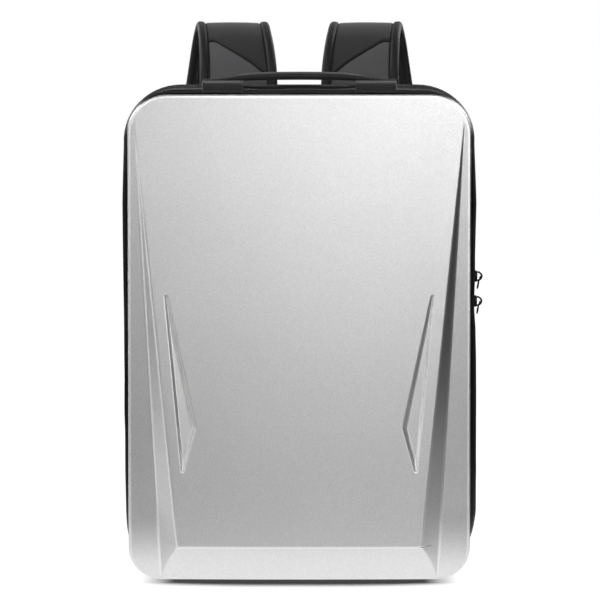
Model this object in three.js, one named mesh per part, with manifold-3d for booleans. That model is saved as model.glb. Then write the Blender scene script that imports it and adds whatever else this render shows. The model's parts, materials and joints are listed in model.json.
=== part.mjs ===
// A hard-fronted travel backpack, standing on its base.
// Millimetres. +Z is up and the hard front faces -Y.
// The origin is on the floor, under the middle of the footprint.
import * as THREE from "three";
import { mergeVertices } from "three/addons/utils/BufferGeometryUtils.js";
import Module from "manifold-3d";

const wasm = await Module();
wasm.setup();

// Front shell
const SHELL_WIDTH = 320;
const SHELL_HEIGHT = 455;
const SHELL_WALL = 2.4;
const SHELL_DEPTH_TOP = 45; // rim to the face, at the top edge
const SHELL_DEPTH_FOOT = 58; // rim to the face, at the foot of the panel
const SHELL_CORNER_TOP = 37;
const SHELL_CORNER_FOOT = 31;
const SHELL_EDGE_ROUND = 5;
const SHELL_CROWN = 4; // how far the middle of the face stands in front of its sides
const PANEL_APEX_OUT = 154; // the two creases of each flank start together, at this distance from the middle
const PANEL_APEX_UP = 435;
const PANEL_FOOT_OUT = 113.6; // the panel's lower corners
const PANEL_FOOT_UP = 34;
const FLANK_FOOT_OUT = 129.5; // where the flank's outer crease meets the floor
const FLANK_STEP = 14; // the panel's height over the side bands, at its foot
const FOOT_BEVEL_DEPTH = 27; // how far the bevel under the panel leans back
const BAND_CURL = 13; // how far the side bands curl back at the floor
const BAND_CURL_UP = 70;

// Pointed pockets pressed into the panel
const POCKET_DEPTH = 3.2;
const POCKET_INSET = 11; // from the panel's edge crease
const POCKET_TOP_UP = 265;
const POCKET_KNEE_UP = 145;
const POCKET_FOOT_UP = 104;
const POCKET_KNEE_WIDTH = 17;
const POCKET_TIP_WIDTH = 2.4;
const POCKET_SLOPE = 3; // width of the pocket's sloping sides

// Soft body
const BODY_DEPTH = 88; // rim to the back wall
const BODY_WALL = 3;
const BODY_TUCK = 8; // how far the gusset reaches inside the shell
const TUCK_GAP = 1.4; // kept to the shell's inside, whose corners are a little thicker
const BODY_CORNER_TOP = 56;
const BODY_CORNER_FOOT = 46;
const BODY_TAPER = 5; // each side leans in by this much at the floor
const SIDE_SWELL = 9.5;
const TOP_SWELL = 9.5;
const BACK_ROUND = 16; // how far the sides turn in before the flat back
const FOOTPRINT_DEPTH = 25; // rim to the middle of the footprint

// Main zip
const ZIP_DEPTH = 62; // rim to the line of teeth
const ZIP_TAPE_WIDTH = 16;
const ZIP_TAPE_THICKNESS = 1.6;
const ZIP_COIL_WIDTH = 6;
const ZIP_COIL_HEIGHT = 1.6;
const ZIP_END_UP = 84; // the teeth stop here on both sides
const SLIDER_LENGTH = 11;
const SLIDER_WIDTH = 9;
const SLIDER_HEIGHT = 3.6;
const SLIDER_UPPER_UP = 281;
const SLIDER_CLEARANCE = 6; // from the upper pull's tip to the lower slider
const BAIL_RADIUS = 4;
const BAIL_WIRE = 1.8;
const BAIL_LEG = 1.9;
const PULL_LENGTH = 12.5; // from the cross bar to the tip
const PULL_WIDTH = 7;
const PULL_THICKNESS = 1.6;
const PULL_BAR = 2;

// Back panel and straps
const PAD_THICKNESS = 12;
const PAD_HALF_WIDTH = 134;
const PAD_OVER_ANCHOR = 22; // from the top of the straps' lower anchors to the pad's foot
const PAD_TOP_UP = 428;
const PAD_ROUND = 5;
const PAD_CORNER_TOP = 34;
const PAD_CORNER_FOOT = 50;
const STRAP_THICKNESS = 12;
const STRAP_WIDTH_BASE = 78;
const STRAP_WIDTH_CREST = 69;
const STRAP_WIDTH_END = 56;
const STRAP_BASE_OUT = 60;
const STRAP_END_OUT = 112;
const STRAP_REACH = 88; // how far behind the pad the strap's loop reaches
const STRAP_CREST_UP = 521; // middle of the strap
const STRAP_END_UP = 215;
const STRAP_BASE_SHARE = 0.6; // height of the sewn end between the strap's low end and its crest
const YOKE_HEIGHT = 30; // over the sewn ends
const YOKE_SKIRT = 20; // the slope below the sewn ends
const YOKE_THICKNESS = 3;
const YOKE_MARGIN = 10;
const YOKE_SLACK = 1.6; // behind the strap ends, which lean back as they leave the yoke

// Strap adjusters
const WEBBING_WIDTH = 24;
const WEBBING_THICKNESS = 1.6;
const WEBBING_BEND = 0.5; // cut off each corner where the webbing turns round a bar
const BUCKLE_BAR = 4;
const BUCKLE_SLOT = 8;
const BUCKLE_THICKNESS = 4;
const BUCKLE_RAIL = 4;
const BUCKLE_DROP = 16; // from the strap's low end to the buckle's top bar
const TAIL_LENGTH = 70;
const TAIL_SWING = 12; // how far the free tail stands away from the webbing's line
const ANCHOR_FOOT_UP = 34;
const ANCHOR_TOP_UP = 74;
const ANCHOR_WIDTH_FOOT = 36;
const ANCHOR_WIDTH_TOP = 27;
const ANCHOR_THICKNESS = 2.4;

// Top handle
const HANDLE_HALF_LENGTH = 92;
const HANDLE_DEPTH = 34; // rim to the middle of the handle
const HANDLE_WIDTH_END = 28;
const HANDLE_WIDTH_GRIP = 24;
const HANDLE_THICKNESS_END = 2.4;
const HANDLE_THICKNESS_GRIP = 6.5;
const HANDLE_GAP = 6.5; // free height under the grip
const PATCH_WIDTH = 39;
const PATCH_THICKNESS = 2;
const PATCH_BACK_DEPTH = 52;

const SEAM_GAP = 0.3; // kept between pieces that are sewn, glued or laid together
const HALF = SHELL_WIDTH / 2;
const RIM_Y = -FOOTPRINT_DEPTH;
const BACK_Y = RIM_Y + BODY_DEPTH;
const ZIP_Y = RIM_Y + ZIP_DEPTH;
const PAD_BACK_Y = BACK_Y + SEAM_GAP + PAD_THICKNESS;
const PAD_FOOT_UP = ANCHOR_TOP_UP + PAD_OVER_ANCHOR;
const SLIDER_LOWER_UP = SLIDER_UPPER_UP - PULL_LENGTH - SLIDER_CLEARANCE - SLIDER_LENGTH / 2;

const mix = (a, b, share) => a + (b - a) * share;
const clamp01 = (value) => Math.min(1, Math.max(0, value));
const point = (x, y, z) => new THREE.Vector3(x, y, z);

// Value of one column of a table of rows, at a place along another column.
function along(rows, key, at, column) {
  if (at <= rows[0][key]) return rows[0][column];
  for (let i = 1; i < rows.length; i++) {
    const low = rows[i - 1];
    const high = rows[i];
    if (at <= high[key]) return mix(low[column], high[column], (at - low[key]) / (high[key] - low[key]));
  }
  return rows[rows.length - 1][column];
}

function signedVolume(positions) {
  let sum = 0;
  const a = new THREE.Vector3();
  const b = new THREE.Vector3();
  const c = new THREE.Vector3();
  for (let i = 0; i < positions.length; i += 9) {
    a.fromArray(positions, i);
    b.fromArray(positions, i + 3);
    c.fromArray(positions, i + 6);
    sum += a.dot(b.cross(c));
  }
  return sum;
}

// Geometry from a list of triangles, each three points, turned to face outwards.
function geometryOf(triangles) {
  const positions = [];
  for (const [a, b, c] of triangles) positions.push(...a.toArray(), ...b.toArray(), ...c.toArray());
  if (signedVolume(positions) < 0) {
    positions.length = 0;
    for (const [a, b, c] of triangles) positions.push(...a.toArray(), ...c.toArray(), ...b.toArray());
  }
  const geometry = new THREE.BufferGeometry();
  geometry.setAttribute("position", new THREE.Float32BufferAttribute(positions, 3));
  return geometry;
}

function addQuad(triangles, a, b, c, d) {
  if (!a.equals(b) && !b.equals(c) && !c.equals(a)) triangles.push([a, b, c]);
  if (!a.equals(c) && !c.equals(d) && !d.equals(a)) triangles.push([a, c, d]);
}

// Skin over a row of closed rings with equal point counts. With loop set the last ring joins the first.
// Otherwise both ends are closed with a fan round their middle.
function skinOver(rings, loop = false) {
  const triangles = [];
  const count = rings[0].length;
  const last = loop ? rings.length : rings.length - 1;
  for (let i = 0; i < last; i++) {
    const near = rings[i];
    const far = rings[(i + 1) % rings.length];
    for (let j = 0; j < count; j++) {
      const k = (j + 1) % count;
      addQuad(triangles, near[j], near[k], far[k], far[j]);
    }
  }
  if (!loop) {
    for (const [ring, turned] of [[rings[0], true], [rings[rings.length - 1], false]]) {
      const middle = ring.reduce((sum, p) => sum.add(p), new THREE.Vector3()).divideScalar(count);
      for (let j = 0; j < count; j++) {
        const k = (j + 1) % count;
        triangles.push(turned ? [middle, ring[k], ring[j]] : [middle, ring[j], ring[k]]);
      }
    }
  }
  return geometryOf(triangles);
}

function solidOf(geometry) {
  const bare = geometry.index ? geometry.toNonIndexed() : geometry.clone();
  bare.deleteAttribute("normal");
  bare.deleteAttribute("uv");
  const merged = mergeVertices(bare, 1e-4);
  return new wasm.Manifold(
    new wasm.Mesh({
      numProp: 3,
      vertProperties: merged.attributes.position.array,
      triVerts: new Uint32Array(merged.index.array),
    }),
  );
}

function geometryOfSolid(solid) {
  const mesh = solid.getMesh();
  const geometry = new THREE.BufferGeometry();
  const positions = new Float32Array(mesh.numVert * 3);
  for (let i = 0; i < mesh.numVert; i++) {
    positions.set(mesh.vertProperties.subarray(i * mesh.numProp, i * mesh.numProp + 3), i * 3);
  }
  geometry.setAttribute("position", new THREE.BufferAttribute(positions, 3));
  geometry.setIndex(new THREE.BufferAttribute(mesh.triVerts, 1));
  return geometry;
}

// Front shell: one row of stations across the face for each height, outer and inner skins, and the rim.

// Half width of the shell's outline at a height.
function shellHalfAt(z) {
  const fromTop = SHELL_HEIGHT - z;
  const corner = (radius, distance) => HALF - radius + Math.sqrt(radius ** 2 - (radius - distance) ** 2);
  if (fromTop < SHELL_CORNER_TOP) return corner(SHELL_CORNER_TOP, Math.max(0, fromTop));
  if (z < SHELL_CORNER_FOOT) return corner(SHELL_CORNER_FOOT, Math.max(0, z));
  return HALF;
}

// Distance from a point of the face to the shell's outline.
function edgeDistance(x, z) {
  const upper = z > SHELL_HEIGHT / 2;
  const radius = upper ? SHELL_CORNER_TOP : SHELL_CORNER_FOOT;
  const sideways = HALF - Math.abs(x);
  const upright = upper ? SHELL_HEIGHT - z : z;
  if (sideways < radius && upright < radius) {
    return radius - Math.hypot(radius - sideways, radius - upright);
  }
  return Math.min(sideways, upright);
}

const panelShare = (z) => (PANEL_APEX_UP - z) / (PANEL_APEX_UP - PANEL_FOOT_UP);
const panelEdgeAt = (z) => mix(PANEL_APEX_OUT, PANEL_FOOT_OUT, Math.max(0, panelShare(z)));
const flankFootAt = (z) => mix(PANEL_APEX_OUT, FLANK_FOOT_OUT, clamp01(1 - z / PANEL_APEX_UP));

const panelDepthAt = (z) =>
  mix(SHELL_DEPTH_TOP, SHELL_DEPTH_FOOT, (SHELL_HEIGHT - z) / (SHELL_HEIGHT - PANEL_FOOT_UP));
const bevelDepthAt = (z) => panelDepthAt(PANEL_FOOT_UP) - FOOT_BEVEL_DEPTH * (1 - z / PANEL_FOOT_UP);
const bandDepthAt = (z) =>
  panelDepthAt(Math.max(z, PANEL_FOOT_UP)) -
  FLANK_STEP * clamp01(panelShare(z)) -
  BAND_CURL * clamp01(1 - z / BAND_CURL_UP) ** 2;

// Where the flank runs into the bevel, below the panel's foot.
function mitreAt(z) {
  const drop = panelDepthAt(PANEL_FOOT_UP) - bevelDepthAt(z);
  const fall = panelDepthAt(PANEL_FOOT_UP) - bandDepthAt(z);
  return mix(panelEdgeAt(z), flankFootAt(z), clamp01(drop / fall));
}

// Pocket outline at a height: its two sides and those of its flat floor, as distances from the middle.
function pocketAt(z) {
  const side = panelEdgeAt(z) - POCKET_INSET;
  const width = along(
    [
      { up: POCKET_FOOT_UP, width: POCKET_TIP_WIDTH },
      { up: POCKET_KNEE_UP, width: POCKET_KNEE_WIDTH },
      { up: POCKET_TOP_UP, width: POCKET_TIP_WIDTH },
    ],
    "up",
    z,
    "width",
  );
  const slope = Math.min(POCKET_SLOPE, width * 0.4);
  return { side, floorSide: side - slope, floorInner: side - width + slope, inner: side - width };
}

const inPocket = (z) => z > POCKET_FOOT_UP && z < POCKET_TOP_UP;

// How far the face stands in front of the rim.
function faceDepth(x, z, pressed) {
  const out = Math.abs(x);
  const crown = SHELL_CROWN * (1 - (out / HALF) ** 2);
  let depth = panelDepthAt(z);
  const edge = z < PANEL_FOOT_UP ? mitreAt(z) : panelEdgeAt(z);
  if (z < PANEL_FOOT_UP) depth = bevelDepthAt(z);
  if (out > edge && z < PANEL_APEX_UP) {
    depth = mix(depth, bandDepthAt(z), clamp01((out - edge) / Math.max(1e-6, flankFootAt(z) - edge)));
  }
  const distance = Math.max(0, edgeDistance(x, z));
  const round = SHELL_EDGE_ROUND;
  const fall = distance < round ? round - Math.sqrt(round ** 2 - (round - distance) ** 2) : 0;
  return depth + crown - fall - (pressed ? POCKET_DEPTH : 0);
}

const EDGE_STEPS = [0, 0.29, 1]; // shares of the edge rounding
const CROWN_STEPS = [1, 0.5, 0]; // shares of the panel between the pocket and the middle

// Stations across the face at one height, from the outline to the middle.
// Each has a distance out and says whether it is pressed in.
function stationsAt(z) {
  const half = shellHalfAt(z);
  const pocket = pocketAt(z);
  const edge = z < PANEL_FOOT_UP ? mitreAt(z) : panelEdgeAt(z);
  const stations = [
    { out: half },
    { out: half - EDGE_STEPS[1] * SHELL_EDGE_ROUND },
    { out: half - EDGE_STEPS[2] * SHELL_EDGE_ROUND },
    { out: flankFootAt(z) },
    { out: edge },
    { out: pocket.side },
    { out: pocket.floorSide, pressed: inPocket(z) },
    { out: pocket.floorInner, pressed: inPocket(z) },
    { out: pocket.inner },
  ];
  const inner = pocket.inner;
  for (const share of CROWN_STEPS.slice(1)) stations.push({ out: inner * share });
  const least = 0.5; // neighbouring stations stay this far apart
  for (let i = 1; i < stations.length; i++) {
    stations[i].out = Math.min(stations[i].out, stations[i - 1].out - least);
  }
  stations[stations.length - 1].out = 0;
  return stations;
}

// Heights of the rows, from the floor up.
function rowHeights() {
  const corner = (radius, degrees) => radius * (1 - Math.sin((degrees * Math.PI) / 180));
  const low = [90, 72, 54, 36, 18, 0].map((angle) => corner(SHELL_CORNER_FOOT, angle));
  const high = [0, 18, 36, 54, 72, 90].map((angle) => SHELL_HEIGHT - corner(SHELL_CORNER_TOP, angle));
  const edge = EDGE_STEPS.map((share) => share * SHELL_EDGE_ROUND);
  const pocketTip = POCKET_SLOPE * 2;
  const heights = [
    ...low,
    ...edge,
    PANEL_FOOT_UP,
    mix(PANEL_FOOT_UP, BAND_CURL_UP, 0.5),
    BAND_CURL_UP,
    POCKET_FOOT_UP,
    POCKET_FOOT_UP + pocketTip,
    POCKET_KNEE_UP,
    mix(POCKET_KNEE_UP, POCKET_TOP_UP, 0.5),
    POCKET_TOP_UP - pocketTip * 2,
    POCKET_TOP_UP,
    mix(POCKET_TOP_UP, PANEL_APEX_UP, 0.5),
    PANEL_APEX_UP,
    ...high,
    ...edge.map((inset) => SHELL_HEIGHT - inset),
  ].sort((a, b) => a - b);
  const spacing = 1.2; // rows closer than this are one
  return heights.filter((z, i) => {
    const last = i === heights.length - 1;
    return last || heights[i + 1] - z > spacing || i === 0;
  });
}

function frontShell() {
  const rows = rowHeights().map((z) => {
    const half = stationsAt(z);
    const right = half.map((s) => ({ x: s.out, pressed: s.pressed }));
    const left = half.slice(0, -1).map((s) => ({ x: -s.out, pressed: s.pressed }));
    return { z, stations: [...left, ...right.reverse()] };
  });
  const outer = rows.map(({ z, stations }) =>
    stations.map(({ x, pressed }) => point(x, RIM_Y - faceDepth(x, z, pressed), z)),
  );
  const middle = SHELL_HEIGHT / 2;
  const inward = (p) =>
    point(
      (p.x * (HALF - SHELL_WALL)) / HALF,
      p.y + SHELL_WALL,
      middle + ((p.z - middle) * (middle - SHELL_WALL)) / middle,
    );
  const inner = outer.map((row) => row.map(inward));
  const borderOf = (grid) => {
    const end = grid[0].length - 1;
    return [
      ...grid[0].slice(0, end),
      ...grid.slice(0, -1).map((row) => row[end]),
      ...grid[grid.length - 1].slice(1).reverse(),
      ...grid.slice(1).map((row) => row[0]).reverse(),
    ];
  };
  const triangles = [];
  for (let i = 0; i + 1 < outer.length; i++) {
    for (let j = 0; j + 1 < outer[i].length; j++) {
      // The quads of one half are split along the other diagonal, so that the halves mirror each other.
      const turn = outer[i][j].x + outer[i][j + 1].x < 0 ? 0 : 1;
      const front = [outer[i][j], outer[i][j + 1], outer[i + 1][j + 1], outer[i + 1][j]];
      const behind = [inner[i][j], inner[i + 1][j], inner[i + 1][j + 1], inner[i][j + 1]];
      for (const quad of [front, behind]) {
        addQuad(triangles, ...quad.slice(turn), ...quad.slice(0, turn));
      }
    }
  }
  const toRim = (p) => point(p.x, RIM_Y, p.z);
  const outerBorder = borderOf(outer);
  const innerBorder = borderOf(inner);
  const loops = [outerBorder, outerBorder.map(toRim), innerBorder.map(toRim), innerBorder];
  for (let k = 0; k + 1 < loops.length; k++) {
    for (let j = 0; j < outerBorder.length; j++) {
      const next = (j + 1) % outerBorder.length;
      addQuad(triangles, loops[k][next], loops[k][j], loops[k + 1][j], loops[k + 1][next]);
    }
  }
  return geometryOf(triangles);
}

// Soft body: rings round the bag at each depth behind the rim. Each row says how far the sides and the top
// have swelled, as a share of the full swell, and how far the corners have gone from the shell's to the body's.
const BODY_ROWS = [
  { depth: 0.012, side: 0.1, top: 0.1, corner: 0.25 },
  { depth: 0.06, side: 0.6, top: 0.55, corner: 0.6 },
  { depth: 0.17, side: 0.9, top: 0.9, corner: 0.9 },
  { depth: 0.4, side: 1, top: 1, corner: 1 },
  { depth: 0.62, side: 1, top: 1, corner: 1 },
  { depth: 0.8, side: 0.93, top: 0.9, corner: 1 },
];

const outlineOf = (half, low, high, cornerTop, cornerFoot) => ({ half, low, high, cornerTop, cornerFoot });

function bodyOutlineAt(depth, wall = 0) {
  const share = depth / BODY_DEPTH;
  const corner = along(BODY_ROWS, "depth", share, "corner");
  return outlineOf(
    HALF + SIDE_SWELL * along(BODY_ROWS, "depth", share, "side") - wall,
    wall,
    SHELL_HEIGHT + TOP_SWELL * along(BODY_ROWS, "depth", share, "top") - wall,
    mix(SHELL_CORNER_TOP, BODY_CORNER_TOP, corner) - wall,
    mix(SHELL_CORNER_FOOT, BODY_CORNER_FOOT, corner) - wall,
  );
}

// The outline where the gusset is tucked inside the shell.
function tuckOutline(wall = 0) {
  const inset = SHELL_WALL + TUCK_GAP + wall;
  return outlineOf(
    HALF - inset,
    inset,
    SHELL_HEIGHT - inset,
    SHELL_CORNER_TOP - inset,
    SHELL_CORNER_FOOT - inset,
  );
}

const CORNER_STEPS = 6;
const SIDE_SHARES = [0.33, 0.67];

// Points round an outline, from one foot corner's end over the top to the other's. The floor closes it.
function ringPoints(outline, depth) {
  const { half, low, high, cornerTop, cornerFoot } = outline;
  const halves = [];
  const addCorner = (radius, centreZ, from) => {
    for (let i = 0; i <= CORNER_STEPS; i++) {
      const angle = ((from + (90 * i) / CORNER_STEPS) * Math.PI) / 180;
      halves.push([half - radius + radius * Math.cos(angle), centreZ + radius * Math.sin(angle)]);
    }
  };
  addCorner(cornerFoot, low + cornerFoot, -90);
  halves.push([half, ZIP_END_UP + SEAM_GAP]);
  for (const share of SIDE_SHARES) halves.push([half, mix(low + cornerFoot, high - cornerTop, share)]);
  addCorner(cornerTop, high - cornerTop, 0);
  const lean = (x, z) => x * (1 - (BODY_TAPER / HALF) * (1 - z / high));
  const y = RIM_Y + depth;
  const right = halves.map(([x, z]) => point(lean(x, z), y, z));
  const left = halves.map(([x, z]) => point(-lean(x, z), y, z)).reverse();
  return [...right, ...left];
}

const depthsBetween = (from, to) => [
  from,
  ...BODY_ROWS.map((row) => row.depth * BODY_DEPTH).filter((d) => d > from + 1 && d < to - 1),
  to,
];

function frontGusset() {
  const back = ZIP_DEPTH - ZIP_TAPE_WIDTH / 2 - SEAM_GAP;
  const lip = BODY_ROWS[0].depth * BODY_DEPTH;
  const outer = [
    ringPoints(tuckOutline(), -BODY_TUCK),
    ringPoints(tuckOutline(), SEAM_GAP),
    ...depthsBetween(lip, back).map((d) => ringPoints(bodyOutlineAt(d), d)),
  ];
  const inner = [
    ...depthsBetween(lip + BODY_WALL, back).map((d) => ringPoints(bodyOutlineAt(d, BODY_WALL), d)),
  ].reverse();
  inner.push(ringPoints(tuckOutline(BODY_WALL), lip + BODY_WALL / 2));
  inner.push(ringPoints(tuckOutline(BODY_WALL), -BODY_TUCK));
  return skinOver([...outer, ...inner], true);
}

// The rounding between the sides and the flat back, in steps of a quarter circle.
const BACK_STEPS = [30, 60, 90];

function rearBody() {
  const front = ZIP_DEPTH + ZIP_TAPE_WIDTH / 2 + SEAM_GAP;
  const skin = (wall) => {
    const depth = BODY_DEPTH - BACK_ROUND;
    const rings = [front, depth].map((d) => ringPoints(bodyOutlineAt(d, wall), d));
    for (const degrees of BACK_STEPS) {
      const angle = (degrees * Math.PI) / 180;
      const radius = BACK_ROUND - wall;
      const inset = wall + radius * (1 - Math.cos(angle));
      const outline = bodyOutlineAt(depth, inset);
      outline.low = wall + (radius / 2) * (1 - Math.cos(angle));
      rings.push(ringPoints(outline, depth + radius * Math.sin(angle)));
    }
    return rings;
  };
  return skinOver([...skin(0).reverse(), ...skin(BODY_WALL)]);
}

// A strip round the bag that follows the body's skin. The section's rows are {depth, lift}, a closed loop.
function stripRound(section, keep) {
  const rings = section.map(({ depth, lift }) => ringPoints(bodyOutlineAt(depth, -lift), depth));
  return keep.map((index) => rings.map((ring) => ring[index]));
}

const SAMPLE_RING = ringPoints(bodyOutlineAt(ZIP_DEPTH), ZIP_DEPTH);
const ZIP_END_INDEX = CORNER_STEPS + 1;
const RING_COUNT = SAMPLE_RING.length;
const ZIP_STATIONS = SAMPLE_RING.map((_, i) => i).filter(
  (i) => i >= ZIP_END_INDEX && i < RING_COUNT - ZIP_END_INDEX,
);
const HINGE_STATIONS = [
  ...SAMPLE_RING.map((_, i) => i).filter((i) => i >= RING_COUNT - ZIP_END_INDEX - 1),
  ...SAMPLE_RING.map((_, i) => i).filter((i) => i <= ZIP_END_INDEX),
];

function zipTape() {
  const side = ZIP_TAPE_WIDTH / 2;
  const section = [
    { depth: ZIP_DEPTH - side, lift: 0 },
    { depth: ZIP_DEPTH + side, lift: 0 },
    { depth: ZIP_DEPTH + side, lift: -ZIP_TAPE_THICKNESS },
    { depth: ZIP_DEPTH - side, lift: -ZIP_TAPE_THICKNESS },
  ];
  return skinOver(stripRound(section, ZIP_STATIONS));
}

// The fabric between the zip's two ends, under the bag.
function zipHinge() {
  const side = ZIP_TAPE_WIDTH / 2;
  const section = [
    { depth: ZIP_DEPTH - side, lift: 0 },
    { depth: ZIP_DEPTH + side, lift: 0 },
    { depth: ZIP_DEPTH + side, lift: -BODY_WALL },
    { depth: ZIP_DEPTH - side, lift: -BODY_WALL },
  ];
  const strip = stripRound(section, HINGE_STATIONS);
  for (const ring of [strip[0], strip[strip.length - 1]]) {
    for (const p of ring) p.z -= SEAM_GAP;
  }
  return skinOver(strip);
}

const ZIP_COIL_SECTION = [
  { across: -0.5, lift: 0 },
  { across: -0.3, lift: 1 },
  { across: 0.3, lift: 1 },
  { across: 0.5, lift: 0 },
];

function zipCoil() {
  const section = ZIP_COIL_SECTION.map(({ across, lift }) => ({
    depth: ZIP_DEPTH + across * ZIP_COIL_WIDTH,
    lift: SEAM_GAP + lift * ZIP_COIL_HEIGHT,
  }));
  return skinOver(stripRound(section, ZIP_STATIONS));
}

// Where a slider sits: the skin's distance from the middle at its height, plus the coil under it.
function sliderSeat(up) {
  const outline = bodyOutlineAt(ZIP_DEPTH);
  const skin = outline.half * (1 - (BODY_TAPER / HALF) * (1 - up / outline.high));
  return skin + SEAM_GAP * 2 + ZIP_COIL_HEIGHT;
}

// Slider in its own frame: X points away from the bag, Z along the teeth.
function zipSlider() {
  const half = SLIDER_LENGTH / 2;
  const nose = SLIDER_WIDTH * 0.3;
  const shape = new THREE.Shape();
  shape.moveTo(-SLIDER_WIDTH / 2, half * 0.2);
  shape.lineTo(-nose, -half);
  shape.lineTo(nose, -half);
  shape.lineTo(SLIDER_WIDTH / 2, half * 0.2);
  shape.lineTo(SLIDER_WIDTH / 2, half * 0.8);
  shape.lineTo(nose, half);
  shape.lineTo(-nose, half);
  shape.lineTo(-SLIDER_WIDTH / 2, half * 0.8);
  shape.closePath();
  const plate = new THREE.ExtrudeGeometry(shape, { depth: SLIDER_HEIGHT, bevelEnabled: false });
  plate.rotateX(Math.PI / 2).rotateZ(Math.PI / 2);
  const centre = SLIDER_HEIGHT + BAIL_LEG;
  const sunk = SLIDER_HEIGHT * 0.6;
  const path = new THREE.CurvePath();
  const arch = new THREE.CatmullRomCurve3(
    [
      point(sunk, 0, -BAIL_RADIUS),
      point(centre, 0, -BAIL_RADIUS),
      ...[-60, -30, 0, 30, 60].map((degrees) => {
        const angle = (degrees * Math.PI) / 180;
        return point(centre + BAIL_RADIUS * Math.cos(angle), 0, BAIL_RADIUS * Math.sin(angle));
      }),
      point(centre, 0, BAIL_RADIUS),
      point(sunk, 0, BAIL_RADIUS),
    ],
    false,
    "centripetal",
  );
  path.add(arch);
  const wire = new THREE.Shape();
  for (let i = 0; i < 6; i++) {
    const angle = (i * Math.PI) / 3;
    const place = [(BAIL_WIRE / 2) * Math.cos(angle), (BAIL_WIRE / 2) * Math.sin(angle)];
    if (i === 0) wire.moveTo(...place);
    else wire.lineTo(...place);
  }
  wire.closePath();
  const bail = new THREE.ExtrudeGeometry(wire, { steps: 14, extrudePath: arch, bevelEnabled: false });
  return geometryOfSolid(solidOf(plate).add(solidOf(bail)));
}

// Pull in its own frame: its cross bar lies along Y through the origin, and it hangs along -Z.
function zipPull() {
  const half = PULL_WIDTH / 2;
  const top = PULL_BAR / 2;
  const windowFoot = BAIL_RADIUS + BAIL_WIRE / 2 + 0.7;
  const windowHalf = BAIL_WIRE / 2 + 0.5;
  const shape = new THREE.Shape([
    new THREE.Vector2(half, top),
    new THREE.Vector2(-half, top),
    new THREE.Vector2(-half, -PULL_LENGTH * 0.55),
    new THREE.Vector2(-half * 0.75, -PULL_LENGTH * 0.9),
    new THREE.Vector2(-half * 0.35, -PULL_LENGTH),
    new THREE.Vector2(half * 0.35, -PULL_LENGTH),
    new THREE.Vector2(half * 0.75, -PULL_LENGTH * 0.9),
    new THREE.Vector2(half, -PULL_LENGTH * 0.55),
  ]);
  const window = new THREE.Path();
  window.moveTo(-windowHalf, -top);
  window.lineTo(windowHalf, -top);
  window.lineTo(windowHalf, -windowFoot);
  window.lineTo(-windowHalf, -windowFoot);
  window.closePath();
  shape.holes.push(window);
  const plate = new THREE.ExtrudeGeometry(shape, { depth: PULL_THICKNESS, bevelEnabled: false });
  plate.translate(0, 0, -PULL_THICKNESS / 2);
  return plate.rotateX(Math.PI / 2).rotateZ(Math.PI / 2);
}

// A rounded slab against the back wall.
function backPad() {
  const rows = [
    { depth: 0, inset: 0 },
    { depth: 1 - PAD_ROUND / PAD_THICKNESS, inset: 0 },
    { depth: 1 - (PAD_ROUND / PAD_THICKNESS) * 0.3, inset: 0.3 },
    { depth: 1, inset: 1 },
  ];
  const rings = rows.map(({ depth, inset }) => {
    const cut = inset * PAD_ROUND;
    const ring = [];
    const low = PAD_FOOT_UP + cut;
    const high = PAD_TOP_UP - cut;
    const half = PAD_HALF_WIDTH - cut;
    const foot = PAD_CORNER_FOOT - cut;
    const top = PAD_CORNER_TOP - cut;
    const corners = [
      [half - foot, low + foot, -90, foot],
      [half - top, high - top, 0, top],
      [top - half, high - top, 90, top],
      [foot - half, low + foot, 180, foot],
    ];
    for (const [x, z, from, radius] of corners) {
      for (let i = 0; i <= 4; i++) {
        const angle = ((from + 22.5 * i) * Math.PI) / 180;
        const y = BACK_Y + SEAM_GAP + depth * PAD_THICKNESS;
        ring.push(point(x + radius * Math.cos(angle), y, z + radius * Math.sin(angle)));
      }
    }
    return ring;
  });
  return skinOver(rings);
}

// Shoulder strap: rows from the sewn end, over the crest, to the low end. across goes from the sewn end's place
// to the low end's, back is a share of the reach, and up a share of the height from the low end to the crest.
const STRAP_ROWS = [
  { across: 0, back: 0, up: 0.62, width: 0 },
  { across: 0, back: 0.012, up: 0.76, width: 0 },
  { across: 0.01, back: 0.05, up: 0.87, width: 0.3 },
  { across: 0.05, back: 0.26, up: 0.965, width: 0.8 },
  { across: 0.09, back: 0.55, up: 1, width: 1 },
  { across: 0.13, back: 0.83, up: 0.95, width: 1 },
  { across: 0.32, back: 0.98, up: 0.82, width: 1 },
  { across: 0.53, back: 1, up: 0.62, width: 1.1 },
  { across: 0.76, back: 0.89, up: 0.39, width: 1.3 },
  { across: 0.94, back: 0.71, up: 0.18, width: 1.6 },
  { across: 1, back: 0.56, up: 0.07, width: 1.8 },
  { across: 1, back: 0.47, up: 0, width: 2 },
];
const STRAP_STEPS = 26;
// Half section of the strap: across is a share of half the width, high a share of half the thickness.
const STRAP_SECTION = [
  { across: 1, high: 0 },
  { across: 0.97, high: 0.75 },
  { across: 0.88, high: 1 },
  { across: 0.76, high: 0.75 },
  { across: 0.66, high: 0.95 },
];

const strapBaseUp = mix(STRAP_END_UP, STRAP_CREST_UP, STRAP_BASE_SHARE);
const strapSeatY = PAD_BACK_Y + SEAM_GAP + STRAP_THICKNESS / 2;

function strapPoint(row) {
  return point(
    mix(STRAP_BASE_OUT, STRAP_END_OUT, row.across),
    strapSeatY + row.back * (STRAP_REACH - STRAP_THICKNESS / 2),
    row === STRAP_ROWS[0] ? strapBaseUp : mix(STRAP_END_UP, STRAP_CREST_UP, row.up),
  );
}

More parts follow.
